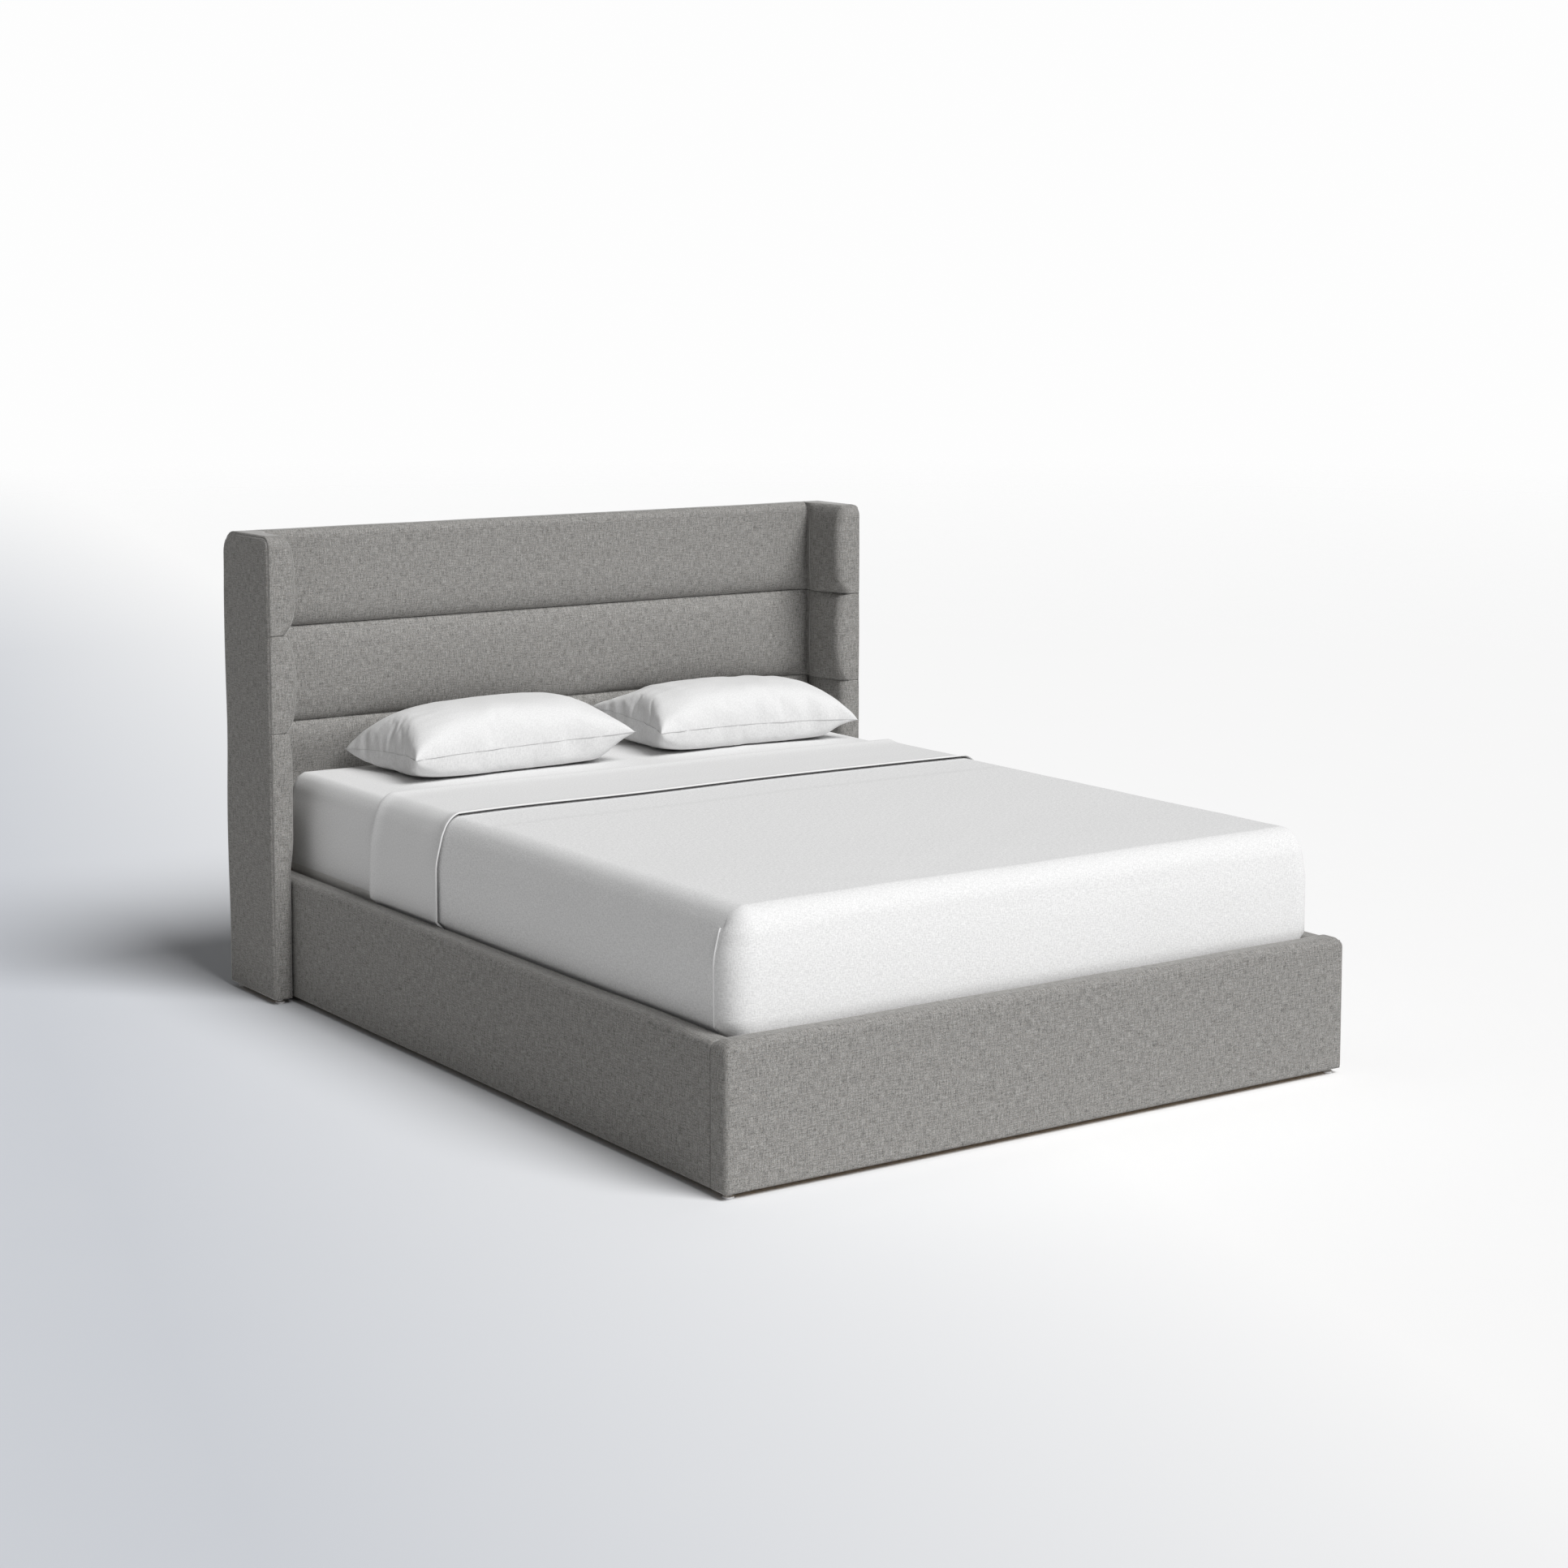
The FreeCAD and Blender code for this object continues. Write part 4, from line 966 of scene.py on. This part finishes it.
def pillow_cloth():
    """Two layers of cotton cut flat and sewn together round their edge, started part stuffed and blown
    out by cloth simulation until the slack gathers into folds at the ends. Gives the points scaled to
    -1..1 along each axis, the quads, their cloth coordinates and the seam's points in order."""
    nx, ny = int(PILLOW_WIDE / PILLOW_CELL), int(PILLOW_DEEP / PILLOW_CELL)
    rng = np.random.RandomState(7)
    flat, full, index = [], [], {}
    for layer in (1, -1):
        for i in range(nx + 1):
            for j in range(ny + 1):
                rim = i in (0, nx) or j in (0, ny)
                if rim and layer < 0:
                    index[i, j, layer] = index[i, j, 1]
                    continue
                index[i, j, layer] = len(flat)
                u, v = 2 * i / nx - 1, 2 * j / ny - 1
                flat.append((u * PILLOW_WIDE / 2, v * PILLOW_DEEP / 2, 0))
                swollen = ((1 - abs(u) ** 3.4) * (1 - abs(v) ** 2.6)) ** 0.62
                full.append((u * PILLOW_WIDE / 2 * (0.985 - 0.045 * (1 - v * v)),
                             v * PILLOW_DEEP / 2 * (0.975 - 0.075 * (1 - u * u)),
                             0 if rim else layer * (84 * MM * swollen + 0.8 * MM * rng.rand())))
    quads, uvs = [], []
    for layer in (1, -1):
        for i in range(nx):
            for j in range(ny):
                corners = [(i, j), (i + 1, j), (i + 1, j + 1), (i, j + 1)]
                if layer < 0:
                    corners.reverse()
                quads.append([index[a, b, layer] for a, b in corners])
                uvs += [(a * PILLOW_CELL, b * PILLOW_CELL + (1 if layer < 0 else 0)) for a, b in corners]
    rim = [(i, 0) for i in range(nx)] + [(nx, j) for j in range(ny)]
    rim += [(i, ny) for i in range(nx, 0, -1)] + [(0, j) for j in range(ny, 0, -1)]
    seam = [index[i, j, 1] for i, j in rim]
    mesh = bpy.data.meshes.new("pillow_sim")
    mesh.from_pydata(flat, [], quads)
    obj = new_object("pillow_sim", mesh)
    rest = obj.shape_key_add(name="flat")
    stuffed = obj.shape_key_add(name="stuffed")
    stuffed.data.foreach_set("co", np.array(full, np.float32).ravel())
    stuffed.value = 1.0
    mod = obj.modifiers.new("Cloth", "CLOTH")
    c = mod.settings
    c.rest_shape_key = rest
    c.quality = 8
    c.mass = 0.25
    c.tension_stiffness = c.compression_stiffness = 30
    c.shear_stiffness = 10
    c.tension_damping = c.compression_damping = c.shear_damping = 15
    c.bending_stiffness = 0.3
    c.air_damping = 4
    c.use_pressure = True
    c.uniform_pressure_force = 3.0
    c.effector_weights.gravity = 0
    last = 16
    mod.point_cache.frame_start, mod.point_cache.frame_end = 1, last
    scene = bpy.context.scene
    for frame_number in range(1, last + 1):
        scene.frame_set(frame_number)
    bake(obj)
    out = np.empty(len(flat) * 3)
    obj.data.vertices.foreach_get("co", out)
    out = out.reshape(-1, 3)
    scene.frame_set(1)
    bpy.data.objects.remove(obj)
    out = out / np.abs(out).max(axis=0)
    return out, quads, uvs, seam


PILLOW_SHAPE = pillow_cloth()


def pillow(name, seed, mirror, size, tips, turn):
    """One pillow. size scales it along each axis. tips gives how far its four pointed corners stand above
    or below the seam's usual height: front left, front right, back left, back right. turn is its turn
    about the vertical."""
    lo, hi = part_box(name)
    base, points, quads, seam = lo[2], PILLOW_SHAPE[0].copy(), PILLOW_SHAPE[1], PILLOW_SHAPE[3]
    uvs = PILLOW_SHAPE[2]
    if mirror:
        points[:, 0] *= -1
        quads = [q[::-1] for q in quads]
        uvs = [uv for n in range(0, len(uvs), 4) for uv in reversed(uvs[n:n + 4])]
    half = [(hi[n] - lo[n]) / 2 * size[n] for n in range(3)]
    top_level = TOP_LEVEL * size[2]
    u, v, w = points.T
    rise = np.where(w > 0, 1 - (1 - np.clip(w, 0, 1)) ** 1.15, -1 + (1 - np.clip(-w, 0, 1)) ** 2.8)
    rise = np.where(rise < 0, rise * (1 - 0.7 * smooth(u, 0.68, 1.0)), rise)
    z = np.where(rise > 0, SEAM_LEVEL + (top_level - SEAM_LEVEL) * rise, SEAM_LEVEL * (1 + rise))
    tip = (tips[0] * (1 - u) * (1 - v) + tips[1] * (1 + u) * (1 - v)
           + tips[2] * (1 - u) * (1 + v) + tips[3] * (1 + u) * (1 + v)) / 4
    z = z + tip * (1 - np.abs(rise)) * np.maximum(np.abs(u), np.abs(v)) ** 2
    x, y = half[0] * u, half[1] * v
    p = np.stack([x, y, z], 1)
    p[:, 2] += 4.5 * MM * waves(p, seed, 0.33) * smooth(rise, 0.1, 0.7)
    creased = np.maximum(waves(p * (1, 0.35, 0.35), seed + 5, 0.085), -0.2) * smooth(1 - np.abs(v), 0, 0.08)
    p[:, 1] += CREASE_IN * creased * (1 - smooth(rise, 0.5, 0.9))
    p[:, 2] += CREASE_UP * creased * smooth(rise, 0.2, 0.6)
    gathered = np.maximum(waves(p * (0.3, 1, 0.3), seed + 9, 0.042), -0.3) * smooth(1 - np.abs(u), 0, 0.04)
    gathered *= np.exp(-(1 - np.abs(u)) / 0.22) * (1 - np.abs(v) ** 4)
    p[:, 0] -= np.sign(u) * FOLD_IN * gathered
    p[:, 2] += FOLD_UP * gathered * smooth(rise, 0, 0.5)
    c, s = math.cos(turn), math.sin(turn)
    p = np.stack([c * p[:, 0] - s * p[:, 1], s * p[:, 0] + c * p[:, 1], p[:, 2]], 1)
    p += ((lo[0] + hi[0]) / 2, (lo[1] + hi[1]) / 2, base)
    p[:, 2] = np.maximum(p[:, 2], base)
    mesh = bpy.data.meshes.new(name + "_case")
    mesh.from_pydata([tuple(q) for q in p], [], quads)
    layer = mesh.uv_layers.new(name="cloth")
    layer.data.foreach_set("uv", np.array(uvs, np.float32).ravel())
    obj = new_object(name + "_case", mesh, COTTON)
    bake(obj, ("SUBSURF", {"levels": 1}))
    soft(obj, name + "_body", [name])
    # the seam cord is a real seam; its grey, darker than the cotton, is painted shade of the crease along
    # the seam
    cord(name + "_seam", [p[n] for n in seam], 0.6 * MM, PILLOW_SEAM_SHADE,
         name + "_body", closed=True)


pillow("pillow_left", 201, False, (1.015, 1, 1), (0, 14 * MM, -18 * MM, 0), 0.03)
pillow("pillow_right", 202, True, (0.975, 0.99, 0.955), (0, -14 * MM, 30 * MM, 20 * MM), -0.03)


# ------------ slat tapes

def slat_tapes():
    lo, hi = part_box("slat_tapes")
    for name, x in (("left", lo[0]), ("right", hi[0] - 25 * MM)):
        xs = cuts(x, x + 25 * MM, 5 * MM)
        ys = cuts(lo[1], hi[1], 12 * MM)
        zs = cuts(lo[2], hi[2], 2 * MM)
        obj = block("slat_tape_" + name, xs, ys, zs, lambda p: p, TAPE)
        soft(obj, "frame", ["slat_tapes"] if name == "left" else [])


slat_tapes()


# ------------ camera, light and floor

def camera():
    data = bpy.data.cameras.new("camera")
    data.lens = 67.99
    data.shift_x, data.shift_y = 0.0102, -0.12
    data.clip_end = 100
    obj = bpy.data.objects.new("camera", data)
    bpy.context.scene.collection.objects.link(obj)
    obj.location = (-3.946, -5.796, 1.805)
    obj.rotation_euler = (math.radians(90 - 6.192), 0, math.radians(-34.329))
    bpy.context.scene.camera = obj


def sun(way, strength, angle):
    """A broad soft light coming from the direction way."""
    data = bpy.data.lights.new("key", "SUN")
    data.energy = strength
    data.angle = math.radians(angle)
    obj = bpy.data.objects.new("key", data)
    bpy.context.scene.collection.objects.link(obj)
    obj.rotation_euler = Vector(way).to_track_quat("Z", "Y").to_euler()


def floor():
    """A pale studio floor that fades away far off; the colour the camera sees on it holds painted shade,
    darker and bluer towards one side, and painted light, brighter than white towards the other.
    """
    n = Nodes("studio_floor")
    where = n.add("TexCoord").outputs["Object"]
    grain = n.noise(where, 3.0, 3.0)
    away = n.add("VectorMath", {0: where}, operation="LENGTH").outputs["Value"]
    fade = n.span(away, 8.0, 22.0)
    slope = n.add("VectorMath", {0: where, 1: (1.022, -0.28, 0.0)}, operation="DOT_PRODUCT")
    across = slope.outputs["Value"]
    light = n.span(across, -1.75, 0.35)
    # painted shade and light: for camera rays only, darker and bluer towards one side and brighter than
    # white towards the other
    seen_shade = n.mix(light, (0.655, 0.678, 0.722, 1), (1.03, 1.03, 1.03, 1))
    seen_shade = n.mix(n.math("MULTIPLY", grain, 0.05), seen_shade, (0.9, 0.9, 0.9, 1))
    camera = n.add("LightPath").outputs["Is Camera Ray"]
    n.finish(Base_Color=n.mix(camera, (0.84, 0.84, 0.84, 1), seen_shade), Roughness=1.0,
             Specular_IOR_Level=0.0)
    clear = n.add("BsdfTransparent").outputs[0]
    blend = n.add("MixShader", {0: fade, 1: n.shader.outputs[0], 2: clear}).outputs[0]
    n.tree.links.new(blend, n.tree.nodes["Material Output"].inputs["Surface"])
    mesh = bpy.data.meshes.new("studio_floor")
    size = 30.0
    corners = [(-size, -size, 0), (size, -size, 0), (size, size, 0), (-size, size, 0)]
    mesh.from_pydata(corners, [], [(0, 1, 2, 3)])
    obj = new_object("studio_floor", mesh, n.material)


def world():
    """An even white backdrop, which lights the bed only faintly."""
    ambient, backdrop = 0.16, 0.985
    w = bpy.data.worlds.new("studio")
    bpy.context.scene.world = w
    w.use_nodes = True
    tree = w.node_tree
    background = tree.nodes["Background"]
    seen = tree.nodes.new("ShaderNodeLightPath")
    strength = tree.nodes.new("ShaderNodeMapRange")
    tree.links.new(seen.outputs["Is Camera Ray"], strength.inputs["Value"])
    strength.inputs["To Min"].default_value = ambient
    strength.inputs["To Max"].default_value = backdrop
    background.inputs["Color"].default_value = (1, 1, 1, 1)
    tree.links.new(strength.outputs[0], background.inputs["Strength"])


camera()
world()
floor()
sun((0.2, -0.61, 0.743), 3.1, 35)
bpy.context.scene.view_settings.view_transform = "Standard"
